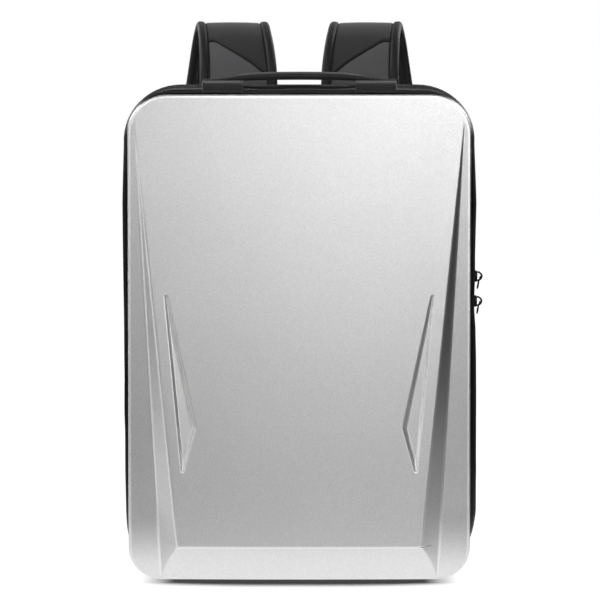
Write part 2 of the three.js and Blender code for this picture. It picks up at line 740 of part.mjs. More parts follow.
function strapWidth(share) {
  const place = share * (STRAP_ROWS.length - 1);
  const low = Math.min(STRAP_ROWS.length - 2, Math.floor(place));
  const stage = mix(STRAP_ROWS[low].width, STRAP_ROWS[low + 1].width, place - low);
  return stage < 1
    ? mix(STRAP_WIDTH_BASE, STRAP_WIDTH_CREST, stage)
    : mix(STRAP_WIDTH_CREST, STRAP_WIDTH_END, stage - 1);
}

const STRAP_PATH = new THREE.CatmullRomCurve3(STRAP_ROWS.map(strapPoint), false, "centripetal");

function shoulderStrap(side) {
  const rings = [];
  for (let i = 0; i <= STRAP_STEPS; i++) {
    const share = i / STRAP_STEPS;
    const centre = STRAP_PATH.getPoint(share);
    const forward = STRAP_PATH.getTangent(share);
    const across = point(1, 0, 0).addScaledVector(forward, -forward.x).normalize();
    const up = new THREE.Vector3().crossVectors(across, forward).normalize();
    const halfWidth = strapWidth(share) / 2;
    const upper = [
      ...STRAP_SECTION,
      ...STRAP_SECTION.slice().reverse().map((s) => ({ across: -s.across, high: s.high })),
    ];
    const lower = STRAP_SECTION.slice(1).map((s) => ({ across: -s.across, high: -s.high }));
    const lowerBack = STRAP_SECTION.slice(1).reverse().map((s) => ({ across: s.across, high: -s.high }));
    rings.push(
      [...upper, ...lower, ...lowerBack].map(({ across: a, high }) => {
        const place = centre
          .clone()
          .addScaledVector(across, a * halfWidth)
          .addScaledVector(up, (high * STRAP_THICKNESS) / 2);
        place.x *= side;
        return place;
      }),
    );
  }
  return skinOver(rings);
}

// Cover over both sewn strap ends: a slab with a sloping skirt and a slot for each end.
function strapYoke() {
  const face = PAD_BACK_Y + SEAM_GAP;
  const slotBack = face + STRAP_THICKNESS + YOKE_SLACK;
  const back = slotBack + YOKE_THICKNESS;
  const low = strapBaseUp - YOKE_SKIRT;
  const high = strapBaseUp + YOKE_HEIGHT;
  const half = STRAP_BASE_OUT + STRAP_WIDTH_BASE / 2 + YOKE_MARGIN;
  const sections = [
    { out: half, back: face + YOKE_THICKNESS },
    { out: half - YOKE_MARGIN, back },
    { out: YOKE_MARGIN - half, back },
    { out: -half, back: face + YOKE_THICKNESS },
  ];
  const slab = skinOver(
    sections.map((section) => [
      point(section.out, face, low),
      point(section.out, face + YOKE_THICKNESS, low),
      point(section.out, section.back, strapBaseUp - SEAM_GAP),
      point(section.out, section.back, high),
      point(section.out, face, high),
    ]),
  );
  let cover = solidOf(slab);
  const slotWidth = STRAP_WIDTH_BASE + SEAM_GAP * 2;
  const slotHeight = YOKE_HEIGHT + SEAM_GAP * 2 + YOKE_THICKNESS;
  for (const side of [-1, 1]) {
    const slot = new THREE.BoxGeometry(slotWidth, (slotBack - face) * 2, slotHeight);
    slot.translate(side * STRAP_BASE_OUT, face, strapBaseUp - SEAM_GAP + slotHeight / 2);
    cover = cover.subtract(solidOf(slot));
  }
  return geometryOfSolid(cover);
}

// Outline of a ribbon of even thickness that follows a polyline of [y, z] points.
function ribbonOutline(points, thickness) {
  const places = points.map(([y, z]) => new THREE.Vector2(y, z));
  const sideAt = (i) => {
    const before = places[Math.max(0, i - 1)];
    const after = places[Math.min(places.length - 1, i + 1)];
    const here = places[i];
    const first = (i > 0 ? here.clone().sub(before) : after.clone().sub(here)).normalize();
    const second = (i + 1 < places.length ? after.clone().sub(here) : here.clone().sub(before)).normalize();
    const normal = new THREE.Vector2(-first.y - second.y, first.x + second.x).normalize();
    const stretch = 1 / Math.max(0.5, normal.dot(new THREE.Vector2(-first.y, first.x)));
    return normal.multiplyScalar((thickness / 2) * stretch);
  };
  const left = places.map((p, i) => p.clone().add(sideAt(i)));
  const right = places.map((p, i) => p.clone().sub(sideAt(i)));
  return [...left, ...right.reverse()];
}

// A ribbon across X, following [y, z] points.
function ribbonAcross(points, thickness, width, centreX) {
  const shape = new THREE.Shape(ribbonOutline(points, thickness));
  const geometry = new THREE.ExtrudeGeometry(shape, { depth: width, bevelEnabled: false });
  // The shape's own x and y become Y and Z, and its depth becomes X.
  geometry.rotateX(Math.PI / 2).rotateZ(Math.PI / 2);
  return geometry.translate(centreX - width / 2, 0, 0);
}

// Strap adjuster: a frame whose Z runs up the webbing and whose Y points away from the wearer's back.
const strapEnd = STRAP_PATH.getPoint(1);
const webbingFoot = {
  y: BACK_Y + SEAM_GAP + ANCHOR_THICKNESS + SEAM_GAP + WEBBING_THICKNESS / 2,
  z: ANCHOR_TOP_UP - WEBBING_THICKNESS,
};
const adjusterRun = new THREE.Vector2(strapEnd.y - webbingFoot.y, strapEnd.z - webbingFoot.z);
const ADJUSTER_TILT = -Math.atan2(adjusterRun.x, adjusterRun.y);

const fromAdjuster = (away, up) => [
  strapEnd.y + away * Math.cos(ADJUSTER_TILT) - up * Math.sin(ADJUSTER_TILT),
  strapEnd.z + away * Math.sin(ADJUSTER_TILT) + up * Math.cos(ADJUSTER_TILT),
];

const BUCKLE_PITCH = BUCKLE_BAR + BUCKLE_SLOT;
const barUp = (index) => -BUCKLE_DROP - index * BUCKLE_PITCH; // middle of a bar, below the strap's end

function ladderBuckle(centreX) {
  const half = WEBBING_WIDTH / 2 + SEAM_GAP * 2 + BUCKLE_RAIL;
  const top = barUp(0) + BUCKLE_BAR / 2;
  const foot = barUp(2) - BUCKLE_BAR / 2;
  const corner = BUCKLE_RAIL / 2;
  const shape = new THREE.Shape([
    new THREE.Vector2(-half + corner, foot),
    new THREE.Vector2(half - corner, foot),
    new THREE.Vector2(half, foot + corner),
    new THREE.Vector2(half, top - corner),
    new THREE.Vector2(half - corner, top),
    new THREE.Vector2(-half + corner, top),
    new THREE.Vector2(-half, top - corner),
    new THREE.Vector2(-half, foot + corner),
  ]);
  for (const index of [0, 1]) {
    const high = barUp(index) - BUCKLE_BAR / 2;
    const inside = half - BUCKLE_RAIL;
    const slot = new THREE.Path();
    slot.moveTo(-inside, high);
    slot.lineTo(inside, high);
    slot.lineTo(inside, high - BUCKLE_SLOT);
    slot.lineTo(-inside, high - BUCKLE_SLOT);
    slot.closePath();
    shape.holes.push(slot);
  }
  const plate = new THREE.ExtrudeGeometry(shape, { depth: BUCKLE_THICKNESS, bevelEnabled: false });
  plate.translate(0, 0, -BUCKLE_THICKNESS / 2).rotateX(Math.PI / 2);
  plate.rotateX(ADJUSTER_TILT);
  return plate.translate(centreX, strapEnd.y, strapEnd.z);
}

// How far the middle of a ribbon runs from the middle of a bar that it passes.
const ribbonOff = BUCKLE_THICKNESS / 2 + SEAM_GAP + WEBBING_THICKNESS / 2;
const ribbonNeck = BUCKLE_BAR; // length over which a ribbon narrows onto the padded strap

// The short loop that ties the buckle's top bar to the padded strap.
function buckleLoop(centreX) {
  const top = -SEAM_GAP * 2;
  const under = barUp(0) - BUCKLE_BAR / 2 - SEAM_GAP - WEBBING_THICKNESS / 2;
  const front = [
    [ribbonOff * 0.45, top],
    [ribbonOff * 0.6, top - ribbonNeck],
    [ribbonOff, barUp(0) + BUCKLE_BAR / 2],
    [ribbonOff, under + WEBBING_BEND],
    [ribbonOff - WEBBING_BEND, under],
  ];
  const behind = front.map(([away, up]) => [-away, up]).reverse();
  const path = [...front, ...behind].map(([away, up]) => fromAdjuster(away, up));
  return ribbonAcross(path, WEBBING_THICKNESS, WEBBING_WIDTH, centreX);
}

// Webbing from the anchor, behind the buckle, over its middle bar, and down behind its low bar to a free tail.
function strapWebbing(centreX) {
  const over = barUp(1) + BUCKLE_BAR / 2 + SEAM_GAP + WEBBING_THICKNESS / 2;
  const layer = WEBBING_THICKNESS + SEAM_GAP * 2;
  const low = barUp(2) - BUCKLE_BAR / 2;
  const middle = (barUp(1) + barUp(2)) / 2;
  const behindBoth = -ribbonOff - layer;
  const path = [
    [webbingFoot.y, ANCHOR_FOOT_UP + WEBBING_THICKNESS],
    [webbingFoot.y, webbingFoot.z - WEBBING_THICKNESS * 4],
    [webbingFoot.y + WEBBING_THICKNESS, webbingFoot.z],
    fromAdjuster(behindBoth, low - TAIL_LENGTH / 2),
    fromAdjuster(behindBoth, barUp(1)),
    fromAdjuster(behindBoth + WEBBING_BEND, over - WEBBING_BEND),
    fromAdjuster(-ribbonOff, over),
    fromAdjuster(ribbonOff - WEBBING_BEND, over),
    fromAdjuster(ribbonOff, over - WEBBING_BEND),
    fromAdjuster(ribbonOff, barUp(1) - BUCKLE_BAR * 0.75),
    fromAdjuster(0, middle),
    fromAdjuster(-ribbonOff, barUp(2) + BUCKLE_BAR * 0.65),
    fromAdjuster(-ribbonOff, low - WEBBING_THICKNESS),
    fromAdjuster(-ribbonOff + TAIL_SWING * 0.25, low - TAIL_LENGTH * 0.2),
    fromAdjuster(-ribbonOff + TAIL_SWING, low - TAIL_LENGTH),
  ];
  return ribbonAcross(path, WEBBING_THICKNESS, WEBBING_WIDTH, centreX);
}

// Tab on the back wall that carries the webbing's low end.
function lowerAnchor(centreX) {
  const foot = ANCHOR_WIDTH_FOOT / 2;
  const top = ANCHOR_WIDTH_TOP / 2;
  const shape = new THREE.Shape([
    new THREE.Vector2(-foot, ANCHOR_FOOT_UP),
    new THREE.Vector2(foot, ANCHOR_FOOT_UP),
    new THREE.Vector2(top, ANCHOR_TOP_UP),
    new THREE.Vector2(-top, ANCHOR_TOP_UP),
  ]);
  const plate = new THREE.ExtrudeGeometry(shape, { depth: ANCHOR_THICKNESS, bevelEnabled: false });
  plate.rotateX(Math.PI / 2);
  return plate.translate(centreX, BACK_Y + SEAM_GAP + ANCHOR_THICKNESS, 0);
}

// Height of the body's top skin at a depth behind the rim.
const topSkinAt = (depth) => bodyOutlineAt(depth).high;

// Patch that follows the top of the gusset, from the shell's rim back past the handle.
function handlePatch(centreX) {
  const front = BODY_ROWS[0].depth * BODY_DEPTH + PATCH_THICKNESS;
  const skin = depthsBetween(front, PATCH_BACK_DEPTH).map((d) => [RIM_Y + d, topSkinAt(d)]);
  const lift = SEAM_GAP * 1.5 + PATCH_THICKNESS / 2;
  const path = ribbonOutline(skin, lift * 2).slice(0, skin.length);
  return ribbonAcross(path.map((p) => [p.x, p.y]), PATCH_THICKNESS, PATCH_WIDTH, centreX);
}

// Handle stations from the middle out. place is along half the length, rise goes from the end to the grip, and
// round says how round the section is.
const HANDLE_ROWS = [
  { place: 0, rise: 1, round: 1 },
  { place: 0.25, rise: 0.97, round: 1 },
  { place: 0.45, rise: 0.84, round: 0.95 },
  { place: 0.6, rise: 0.62, round: 0.7 },
  { place: 0.72, rise: 0.32, round: 0.3 },
  { place: 0.82, rise: 0.06, round: 0.05 },
  { place: 0.88, rise: 0, round: 0 },
  { place: 1, rise: 0, round: 0 },
];
const HANDLE_SECTION_STEPS = 12;

function topHandle() {
  const rowsOut = HANDLE_ROWS.slice(1).reverse().map((row) => ({ ...row, place: -row.place }));
  const seat = topSkinAt(HANDLE_DEPTH) + SEAM_GAP * 2.5 + PATCH_THICKNESS + HANDLE_THICKNESS_END / 2;
  const crest = topSkinAt(HANDLE_DEPTH) + HANDLE_GAP + HANDLE_THICKNESS_GRIP / 2;
  const rings = [...rowsOut, ...HANDLE_ROWS].map(({ place, rise, round }) => {
    const z = mix(seat, crest, rise);
    const width = mix(HANDLE_WIDTH_END, HANDLE_WIDTH_GRIP, round) / 2;
    const thick = mix(HANDLE_THICKNESS_END, HANDLE_THICKNESS_GRIP, round) / 2;
    const power = mix(0.35, 0.75, round);
    const ring = [];
    for (let i = 0; i < HANDLE_SECTION_STEPS; i++) {
      const angle = (2 * Math.PI * i) / HANDLE_SECTION_STEPS;
      const c = Math.cos(angle);
      const s = Math.sin(angle);
      const y = RIM_Y + HANDLE_DEPTH + width * Math.sign(c) * Math.abs(c) ** power;
      ring.push(point(place * HANDLE_HALF_LENGTH, y, z + thick * Math.sign(s) * Math.abs(s) ** power));
    }
    return ring;
  });
  return skinOver(rings);
}

const COLOURS = {
  silver: { color: 0xc9cbca, roughness: 0.32, metalness: 0.75 },
  nylon: { color: 0x17171a, roughness: 0.85, metalness: 0 },
  gusset: { color: 0x232326, roughness: 0.6, metalness: 0 },
  zip: { color: 0x101012, roughness: 0.5, metalness: 0 },
  strap: { color: 0x2f3032, roughness: 0.7, metalness: 0 },
  webbing: { color: 0x121214, roughness: 0.75, metalness: 0 },
  plastic: { color: 0x0d0d0e, roughness: 0.4, metalness: 0 },
  gunmetal: { color: 0x1b1b1d, roughness: 0.3, metalness: 0.9 },
};

const backpack = new THREE.Group();

function addPiece(name, geometry, finish, place = [0, 0, 0]) {
  const mesh = new THREE.Mesh(geometry, new THREE.MeshStandardMaterial(COLOURS[finish]));
  mesh.name = name;
  mesh.position.set(...place);
  backpack.add(mesh);
  return mesh;
}

addPiece("front_shell", frontShell(), "silver");
addPiece("front_gusset", frontGusset(), "gusset");
addPiece("rear_body", rearBody(), "nylon");
addPiece("zip_tape", zipTape(), "zip");
addPiece("zip_coil", zipCoil(), "zip");
addPiece("zip_hinge", zipHinge(), "nylon");
addPiece("back_pad", backPad(), "strap");
addPiece("strap_yoke", strapYoke(), "nylon");
addPiece("top_handle", topHandle(), "webbing");
for (const [suffix, side] of [["left", -1], ["right", 1]]) {
  const endX = side * STRAP_END_OUT;
  addPiece(`shoulder_strap_${suffix}`, shoulderStrap(side), "strap");
  addPiece(`buckle_loop_${suffix}`, buckleLoop(endX), "webbing");
  addPiece(`ladder_buckle_${suffix}`, ladderBuckle(endX), "plastic");
  addPiece(`strap_webbing_${suffix}`, strapWebbing(endX), "webbing");
  addPiece(`lower_anchor_${suffix}`, lowerAnchor(endX), "nylon");
  addPiece(`handle_patch_${suffix}`, handlePatch(side * (HANDLE_HALF_LENGTH - PATCH_WIDTH / 2)), "nylon");
}
for (const [suffix, up] of [["upper", SLIDER_UPPER_UP], ["lower", SLIDER_LOWER_UP]]) {
  const seat = sliderSeat(up);
  addPiece(`zip_slider_${suffix}`, zipSlider(), "gunmetal", [seat, ZIP_Y, up]);
  addPiece(`zip_pull_${suffix}`, zipPull(), "gunmetal", [seat + SLIDER_HEIGHT + BAIL_LEG, ZIP_Y, up]);
}

export default backpack;
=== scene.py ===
# %% [markdown]
# # A hard-fronted travel backpack
#
# The bag is a moulded silver shell in front of a soft, zipped body, with a top handle and two padded shoulder
# straps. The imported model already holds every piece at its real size. This lesson dresses those pieces:
# it makes fine meshes for the shell, the cloth and the padding, and gives every surface a node-based finish.

# %% Load the fixed frame
import json
import math

import bmesh
import bpy
import numpy as np
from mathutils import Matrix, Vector, noise

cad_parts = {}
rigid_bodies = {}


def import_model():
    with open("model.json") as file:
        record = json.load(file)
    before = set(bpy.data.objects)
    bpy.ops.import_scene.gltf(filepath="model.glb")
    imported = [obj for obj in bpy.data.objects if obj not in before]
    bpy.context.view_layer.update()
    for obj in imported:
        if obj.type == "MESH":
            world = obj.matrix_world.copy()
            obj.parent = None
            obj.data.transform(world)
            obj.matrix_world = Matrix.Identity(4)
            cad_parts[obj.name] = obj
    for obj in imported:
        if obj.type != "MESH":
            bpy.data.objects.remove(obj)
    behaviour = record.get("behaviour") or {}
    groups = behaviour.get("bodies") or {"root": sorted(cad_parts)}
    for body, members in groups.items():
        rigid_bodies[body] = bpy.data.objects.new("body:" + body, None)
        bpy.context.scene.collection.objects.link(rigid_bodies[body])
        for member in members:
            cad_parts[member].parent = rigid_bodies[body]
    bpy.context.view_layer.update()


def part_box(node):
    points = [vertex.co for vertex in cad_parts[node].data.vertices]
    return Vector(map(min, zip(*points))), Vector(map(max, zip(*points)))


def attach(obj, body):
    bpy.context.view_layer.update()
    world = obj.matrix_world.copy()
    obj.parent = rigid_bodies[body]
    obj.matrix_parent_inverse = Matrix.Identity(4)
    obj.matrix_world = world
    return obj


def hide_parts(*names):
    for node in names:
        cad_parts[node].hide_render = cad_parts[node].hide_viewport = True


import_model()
MM = 0.001

# %% [markdown]
# A few steps come back for almost every piece, so they are written once: putting an object into the scene,
# turning its faces outwards, giving a skin its thickness, and measuring along a line. Sizes that vary over a
# piece stand in small tables, and a table is read by the names of its columns.

# %% Helpers for objects, tables and lines
def add_object(name, data):
    """A new object in the scene for a mesh, a lamp or a camera."""
    thing = bpy.data.objects.new(name, data)
    bpy.context.scene.collection.objects.link(thing)
    return thing


def face_outwards(mesh, change=None):
    """Turns a mesh's faces outwards, after a change to the mesh if one is given."""
    work = bmesh.new()
    work.from_mesh(mesh)
    if change:
        change(work)
    bmesh.ops.recalc_face_normals(work, faces=work.faces)
    work.to_mesh(mesh)
    work.free()


def thicken(piece, thickness, offset=-1):
    """Gives a skin its thickness: inwards, or to both sides where the offset is 0."""
    wall = piece.modifiers.new("wall", "SOLIDIFY")
    wall.thickness = thickness
    wall.offset = offset


def points_of(piece):
    """Where a piece's points are."""
    return np.array([v.co[:] for v in piece.data.vertices])


def table(names, *rows, unit=1):
    """The columns of a table by name, from its rows."""
    return dict(zip(names.split(), np.array(rows, float).T * unit))


def directions(path, *spacing):
    """The direction of a line at each of its points."""
    ahead = np.gradient(path, *spacing, axis=0)
    return ahead / np.linalg.norm(ahead, axis=1)[:, None]


def way_along(path):
    """The distance from a line's start to each of its points."""
    return np.concatenate([[0], np.cumsum(np.linalg.norm(np.diff(path, axis=0), axis=1))])


def sample(values, way, at):
    """Places or directions that are known along the way, at other distances."""
    return np.stack([np.interp(at, way, values[:, axis]) for axis in range(3)], -1)

# %% [markdown]
# ## Camera, floor and light
#
# The bag is photographed from the front with a long lens, a little above its middle. A long lens keeps the
# sides parallel. The camera comes first, because everything else is judged through it. Its lens follows from
# the distance and from the width that the picture should cover, so a change of distance keeps the framing.

# %% Camera
CAMERA_DISTANCE = 3.0
CAMERA_RISE = math.radians(3.2)
PICTURE_WIDTH = 0.5564  # metres across the picture, at the shell's face
AIM = Vector((0.0007, -0.087, 0.26485))

camera_data = bpy.data.cameras.new("camera")
camera_data.lens = camera_data.sensor_width * CAMERA_DISTANCE / PICTURE_WIDTH
camera_data.clip_end = 50
camera = add_object("camera", camera_data)
camera.location = AIM + CAMERA_DISTANCE * Vector((0, -math.cos(CAMERA_RISE), math.sin(CAMERA_RISE)))
camera.rotation_euler = (math.radians(90) - CAMERA_RISE, 0, 0)
bpy.context.scene.camera = camera
print("lens:", round(camera_data.lens), "mm at", CAMERA_DISTANCE, "m")

# %% [markdown]
# A finish is a small node tree. Writing each one link by link hides what it does, so some helpers come first:
# they add a node and set its inputs, start a finish, join a bump to it, and turn a value into a colour.

# %% Helpers for finishes
def add_node(tree, kind, inputs=None, **settings):
    """A node with its settings, and with input sockets set to values or linked to other sockets."""
    node = tree.nodes.new("ShaderNode" + kind)
    for key, value in settings.items():
        setattr(node, key, value)
    for key, value in (inputs or {}).items():
        socket = node.inputs[key]
        if isinstance(value, bpy.types.NodeSocket):
            tree.links.new(value, socket)
        else:
            socket.default_value = value
    return node


def start_finish(name, **shader):
    """A material with a Principled shader: the material, its tree, the shader and object coordinates."""
    material = bpy.data.materials.new(name)
    material.use_nodes = True
    tree = material.node_tree
    surface = tree.nodes["Principled BSDF"]
    for key, value in shader.items():
        surface.inputs[key.replace("_", " ")].default_value = value
    place = add_node(tree, "TexCoord").outputs["Object"]
    return material, tree, surface, place


def join_bump(tree, surface, height, strength, distance):
    """Raises the surface by a height socket, over a bump that is already there."""
    inputs = {"Height": height, "Strength": strength, "Distance": distance}
    if surface.inputs["Normal"].is_linked:
        inputs["Normal"] = surface.inputs["Normal"].links[0].from_socket
    bump = add_node(tree, "Bump", inputs)
    tree.links.new(bump.outputs["Normal"], surface.inputs["Normal"])


def math_node(tree, operation, *values):
    """The result of one calculation on sockets or numbers."""
    return add_node(tree, "Math", dict(enumerate(values)), operation=operation).outputs[0]


def noise_node(tree, place, scale, detail):
    """Cloudy values about 0.5; scale is the number of clouds in a metre."""
    return add_node(tree, "TexNoise", {"Vector": place, "Scale": scale, "Detail": detail}).outputs["Fac"]


def ramp(tree, socket, *stops):
    """Colours or greys along a socket's value: each stop is (place, grey or colour)."""
    node = add_node(tree, "ValToRGB", {"Fac": socket})
    elements = node.color_ramp.elements
    while len(elements) < len(stops):
        elements.new(0.5)
    for element, (place, tone) in zip(elements, stops):
        element.position = place
        element.color = (*tone, 1) if isinstance(tone, tuple) else (tone, tone, tone, 1)
    return node.outputs["Color"]


# %% [markdown]
# The floor is a pale studio sheet. The camera sees it nearly white, with a dark line of shade where the bag
# meets it. The bag itself sees a sheet that glows close by and fades to black farther out, as a white card
# under a product does in a dark studio: that lights the bevel at the foot and keeps the low flanks from
# going flat.

# %% Floor
FLOOR_HALF = 7
FOOTPRINT = (0.155, 0.08)  # half the bag's width and depth
SEEN_WHITE, MOST_WHITE = 0.99, 1.05
WHITER = 0.12  # what the white gains with each metre away from the bag
BAG_SEES = 1.2  # glow of the floor beside the bag, as the bag sees it
GLOW = ((0.0, 0.95), (0.03, 0.8), (0.08, 0.52), (0.2, 0.31), (0.5, 0.1), (0.8, 0.0))  # by metres from the bag
SHADE_REACH = 0.08
SHADE = ((0.5, 0.0), (0.53, 0.02), (0.58, 0.2), (0.63, 0.65), (0.7, 1.0))  # by how open the floor lies
SHADE_ENDS = ((0.118, 0.0), (0.133, 0.5), (0.15, 1.0))  # by metres to the side: no shade under the corners


def floor_finish():
    material, tree, surface, place = start_finish("floor_white", Roughness=0.9)
    tone = ramp(tree, noise_node(tree, place, 6.0, 3.0), (0.3, 0.05), (0.7, 0.06))
    tree.links.new(tone, surface.inputs["Base Color"])
    ways = add_node(tree, "SeparateXYZ", {0: place}).outputs
    squares = []
    for way, half in zip(ways, FOOTPRINT):
        past = math_node(tree, "SUBTRACT", math_node(tree, "ABSOLUTE", way), half)
        squares.append(math_node(tree, "POWER", math_node(tree, "MAXIMUM", past, 0.0), 2.0))
    away = math_node(tree, "SQRT", math_node(tree, "ADD", *squares))
    bounce = add_node(tree, "Emission", {"Color": ramp(tree, away, *GLOW), "Strength": BAG_SEES})
    openness = add_node(tree, "AmbientOcclusion", {"Distance": SHADE_REACH}, samples=24).outputs["AO"]
    beside = ramp(tree, math_node(tree, "ABSOLUTE", ways[0]), *SHADE_ENDS)
    contact = math_node(tree, "MAXIMUM", ramp(tree, openness, *SHADE), beside)
    white = math_node(tree, "MINIMUM", math_node(tree, "MULTIPLY_ADD", away, WHITER, SEEN_WHITE), MOST_WHITE)
    shine = add_node(tree, "Emission", {"Color": contact, "Strength": white})
    shown = add_node(tree, "AddShader", {0: shine.outputs[0], 1: surface.outputs[0]})
    seen = add_node(tree, "LightPath").outputs["Is Camera Ray"]
    mix = add_node(tree, "MixShader", {0: seen, 1: bounce.outputs[0], 2: shown.outputs[0]})
    tree.links.new(mix.outputs[0], tree.nodes["Material Output"].inputs["Surface"])
    return material


floor_mesh = bpy.data.meshes.new("floor")
floor_corners = [(FLOOR_HALF * x, FLOOR_HALF * y, 0) for x, y in ((-1, -1), (1, -1), (1, 1), (-1, 1))]
floor_mesh.from_pydata(floor_corners, [], [(0, 1, 2, 3)])
floor_mesh.materials.append(floor_finish())
floor = add_object("floor", floor_mesh)

# %% [markdown]
# Soft panels give the painted shell its slow gradient. Each panel shows in the paint as a broad glow, so
# its place sets where the paint is bright: the main one is in front and to the right, and dimmer ones
# follow it to the left. Nothing stands straight to the right, so the right flank of the shell mirrors
# darkness. A narrow panel behind and above the bag draws the thin light line along the crown of the black
# cloth. The others light its sides and back from places that the front's paint doesn't mirror, and the last
# two, close to the floor, light the low flanks.

# %% Lights
BAG_MIDDLE = Vector((0, 0, 0.24))
SKY_SEEN, SKY_LIGHT = 1.0, 0.005  # the background's strength to the camera, and to everything else
PANELS = [  # name, width and height, place, and power in watts
    ("front_right", (0.7, 0.6), (0.8, -2.7, 1.0), 13.4),
    ("front", (0.7, 0.6), (0, -2.7, 1.0), 7.3),
    ("front_low", (0.7, 0.4), (0, -2.7, 0.35), 1.1),
    ("front_left", (1.4, 0.6), (-1.3, -2.7, 1.0), 7.4),
    ("left_low", (0.7, 0.5), (-1.92, -0.85, 0.2), 3.6),
    ("left_high", (0.7, 0.6), (-2.09, 0.15, 1.7), 25),
    ("top", (2.4, 0.45), (0, 0.3, 2.4), 2.5),
    ("behind_top", (1.8, 0.3), (0, 1.5, 1.95), 4.5),
    ("back_left", (0.9, 0.9), (-1.8, 2.2, 1.3), 20),
    ("back_right", (0.9, 0.9), (1.8, 2.2, 1.3), 20),
    ("right_high", (0.9, 0.6), (1.75, 0.9, 1.9), 22),
    ("right_low", (0.25, 0.1), (0.42, -0.12, 0.045), 0.018),
    ("left_foot", (0.25, 0.1), (-0.45, -0.11, 0.045), 0.055),
]
for name, size, place, watts in PANELS:
    data = bpy.data.lights.new(name, "AREA")
    data.shape = "RECTANGLE"
    data.size, data.size_y = size
    data.energy = watts
    lamp = add_object(name, data)
    lamp.location = place
    lamp.rotation_euler = (BAG_MIDDLE - Vector(place)).to_track_quat("-Z", "Y").to_euler()

world = bpy.data.worlds.new("studio")
bpy.context.scene.world = world
world.use_nodes = True
sky = world.node_tree
sky_seen = add_node(sky, "LightPath").outputs["Is Camera Ray"]
sky_strength = math_node(sky, "MULTIPLY_ADD", sky_seen, SKY_SEEN - SKY_LIGHT, SKY_LIGHT)
sky.links.new(sky_strength, sky.nodes["Background"].inputs["Strength"])
sky.nodes["Background"].inputs["Color"].default_value = (1, 1, 1, 1)
bpy.context.scene.view_settings.view_transform = "Standard"
print("lights:", len(PANELS))

# %% [markdown]
# ## The front shell
#
# On the real bag this is one sheet of painted plastic, formed over a mould: a raised middle panel between
# two creased flanks, a bevel along its foot, and two long pockets with pointed ends. It could be modelled
# by hand with creased edges and a subdivision surface. Here its height is a function instead, because then
# every crease gets the same small rounding, and the mesh can follow the creases with as many lines as their
# highlights need.

# %% The shell's sizes
HALF, RIM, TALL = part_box("front_shell")[1]
DEPTH_TOP = 45 * MM  # rim to face
DEPTH_FOOT = 58 * MM
CROWN = 4 * MM
CORNER_TOP = 37 * MM
CORNER_FOOT = 31 * MM
EDGE_ROUND = 1.4 * MM
APEX = (154 * MM, 435 * MM)  # where both creases of a flank start
FOOT = (113.6 * MM, 34 * MM)  # the panel's lower corner
FLANK_FOOT = 129.5 * MM
FLANK_STEP = 14 * MM
BEVEL_DEPTH = 27 * MM
BAND_CURL = 13 * MM
BAND_CURL_UP = 70 * MM
CREASE = 1.1 * MM  # rounding of the moulded creases


def blend(a, b, share):
    return a + (b - a) * share


def soft_min(a, b, reach):
    """The smaller of two heights, with the crease between them rounded over a reach."""
    h = np.clip(0.5 + 0.5 * (b - a) / reach, 0, 1)
    return blend(b, a, h) - reach * h * (1 - h)


def soft_max(a, b, reach):
    return -soft_min(-a, -b, reach)


def panel_share(z):
    return (APEX[1] - z) / (APEX[1] - FOOT[1])


def panel_edge(z):
    return blend(APEX[0], FOOT[0], np.maximum(0, panel_share(z)))


def flank_foot(z):
    return blend(APEX[0], FLANK_FOOT, np.clip(1 - z / APEX[1], 0, 1))


def panel_depth(z):
    return blend(DEPTH_TOP, DEPTH_FOOT, (TALL - z) / (TALL - FOOT[1]))


def band_depth(z):
    curl = BAND_CURL * np.clip(1 - z / BAND_CURL_UP, 0, 1) ** 2
    return panel_depth(np.maximum(z, FOOT[1])) - FLANK_STEP * np.clip(panel_share(z), 0, 1) - curl


# %% [markdown]
# The two pockets are shallow pressings with a flat floor. A point's depth in one follows from its distance to
# the three edges of the pocket, so the sloping sides meet in clean mitres at the corners.

# %% The pointed pockets
POCKET = [  # corners of one pocket: out from the middle, up, and how steep the side is that starts there
    {"out": 125.4 * MM, "up": 268.0 * MM, "steep": 1.1},  # upper end, outer corner
    {"out": 109.8 * MM, "up": 104.3 * MM, "steep": 1.6},  # foot, outer corner
    {"out": 107.6 * MM, "up": 104.3 * MM, "steep": 0.85},  # foot, inner corner
    {"out": 96.2 * MM, "up": 145.4 * MM, "steep": 0.85},  # knee
    {"out": 122.6 * MM, "up": 268.0 * MM, "steep": 1.6},  # upper end, inner corner
]
POCKET_EDGE_DEPTH = 2.0 * MM  # the floor is shallow along the long outer side
POCKET_KNEE_DEPTH = 3.2 * MM  # and sinks towards the knee
POCKET_WIDTH = 16.9 * MM
POCKET_ROUND = 0.8 * MM


def pocket_cut(out, z):
    """How far the pocket is pressed in at a point."""
    sides = []
    for start, end in zip(POCKET, POCKET[1:] + POCKET[:1]):
        run, rise = end["out"] - start["out"], end["up"] - start["up"]
        inside = ((out - start["out"]) * rise - (z - start["up"]) * run) / math.hypot(run, rise)
        sides.append(inside * start["steep"])
    from_outer = sides[0] / POCKET[0]["steep"]
    cut = blend(POCKET_EDGE_DEPTH, POCKET_KNEE_DEPTH, from_outer / POCKET_WIDTH)
    for side in sides:
        cut = soft_min(cut, side, POCKET_ROUND)
    return soft_max(cut, np.zeros_like(cut), POCKET_ROUND)


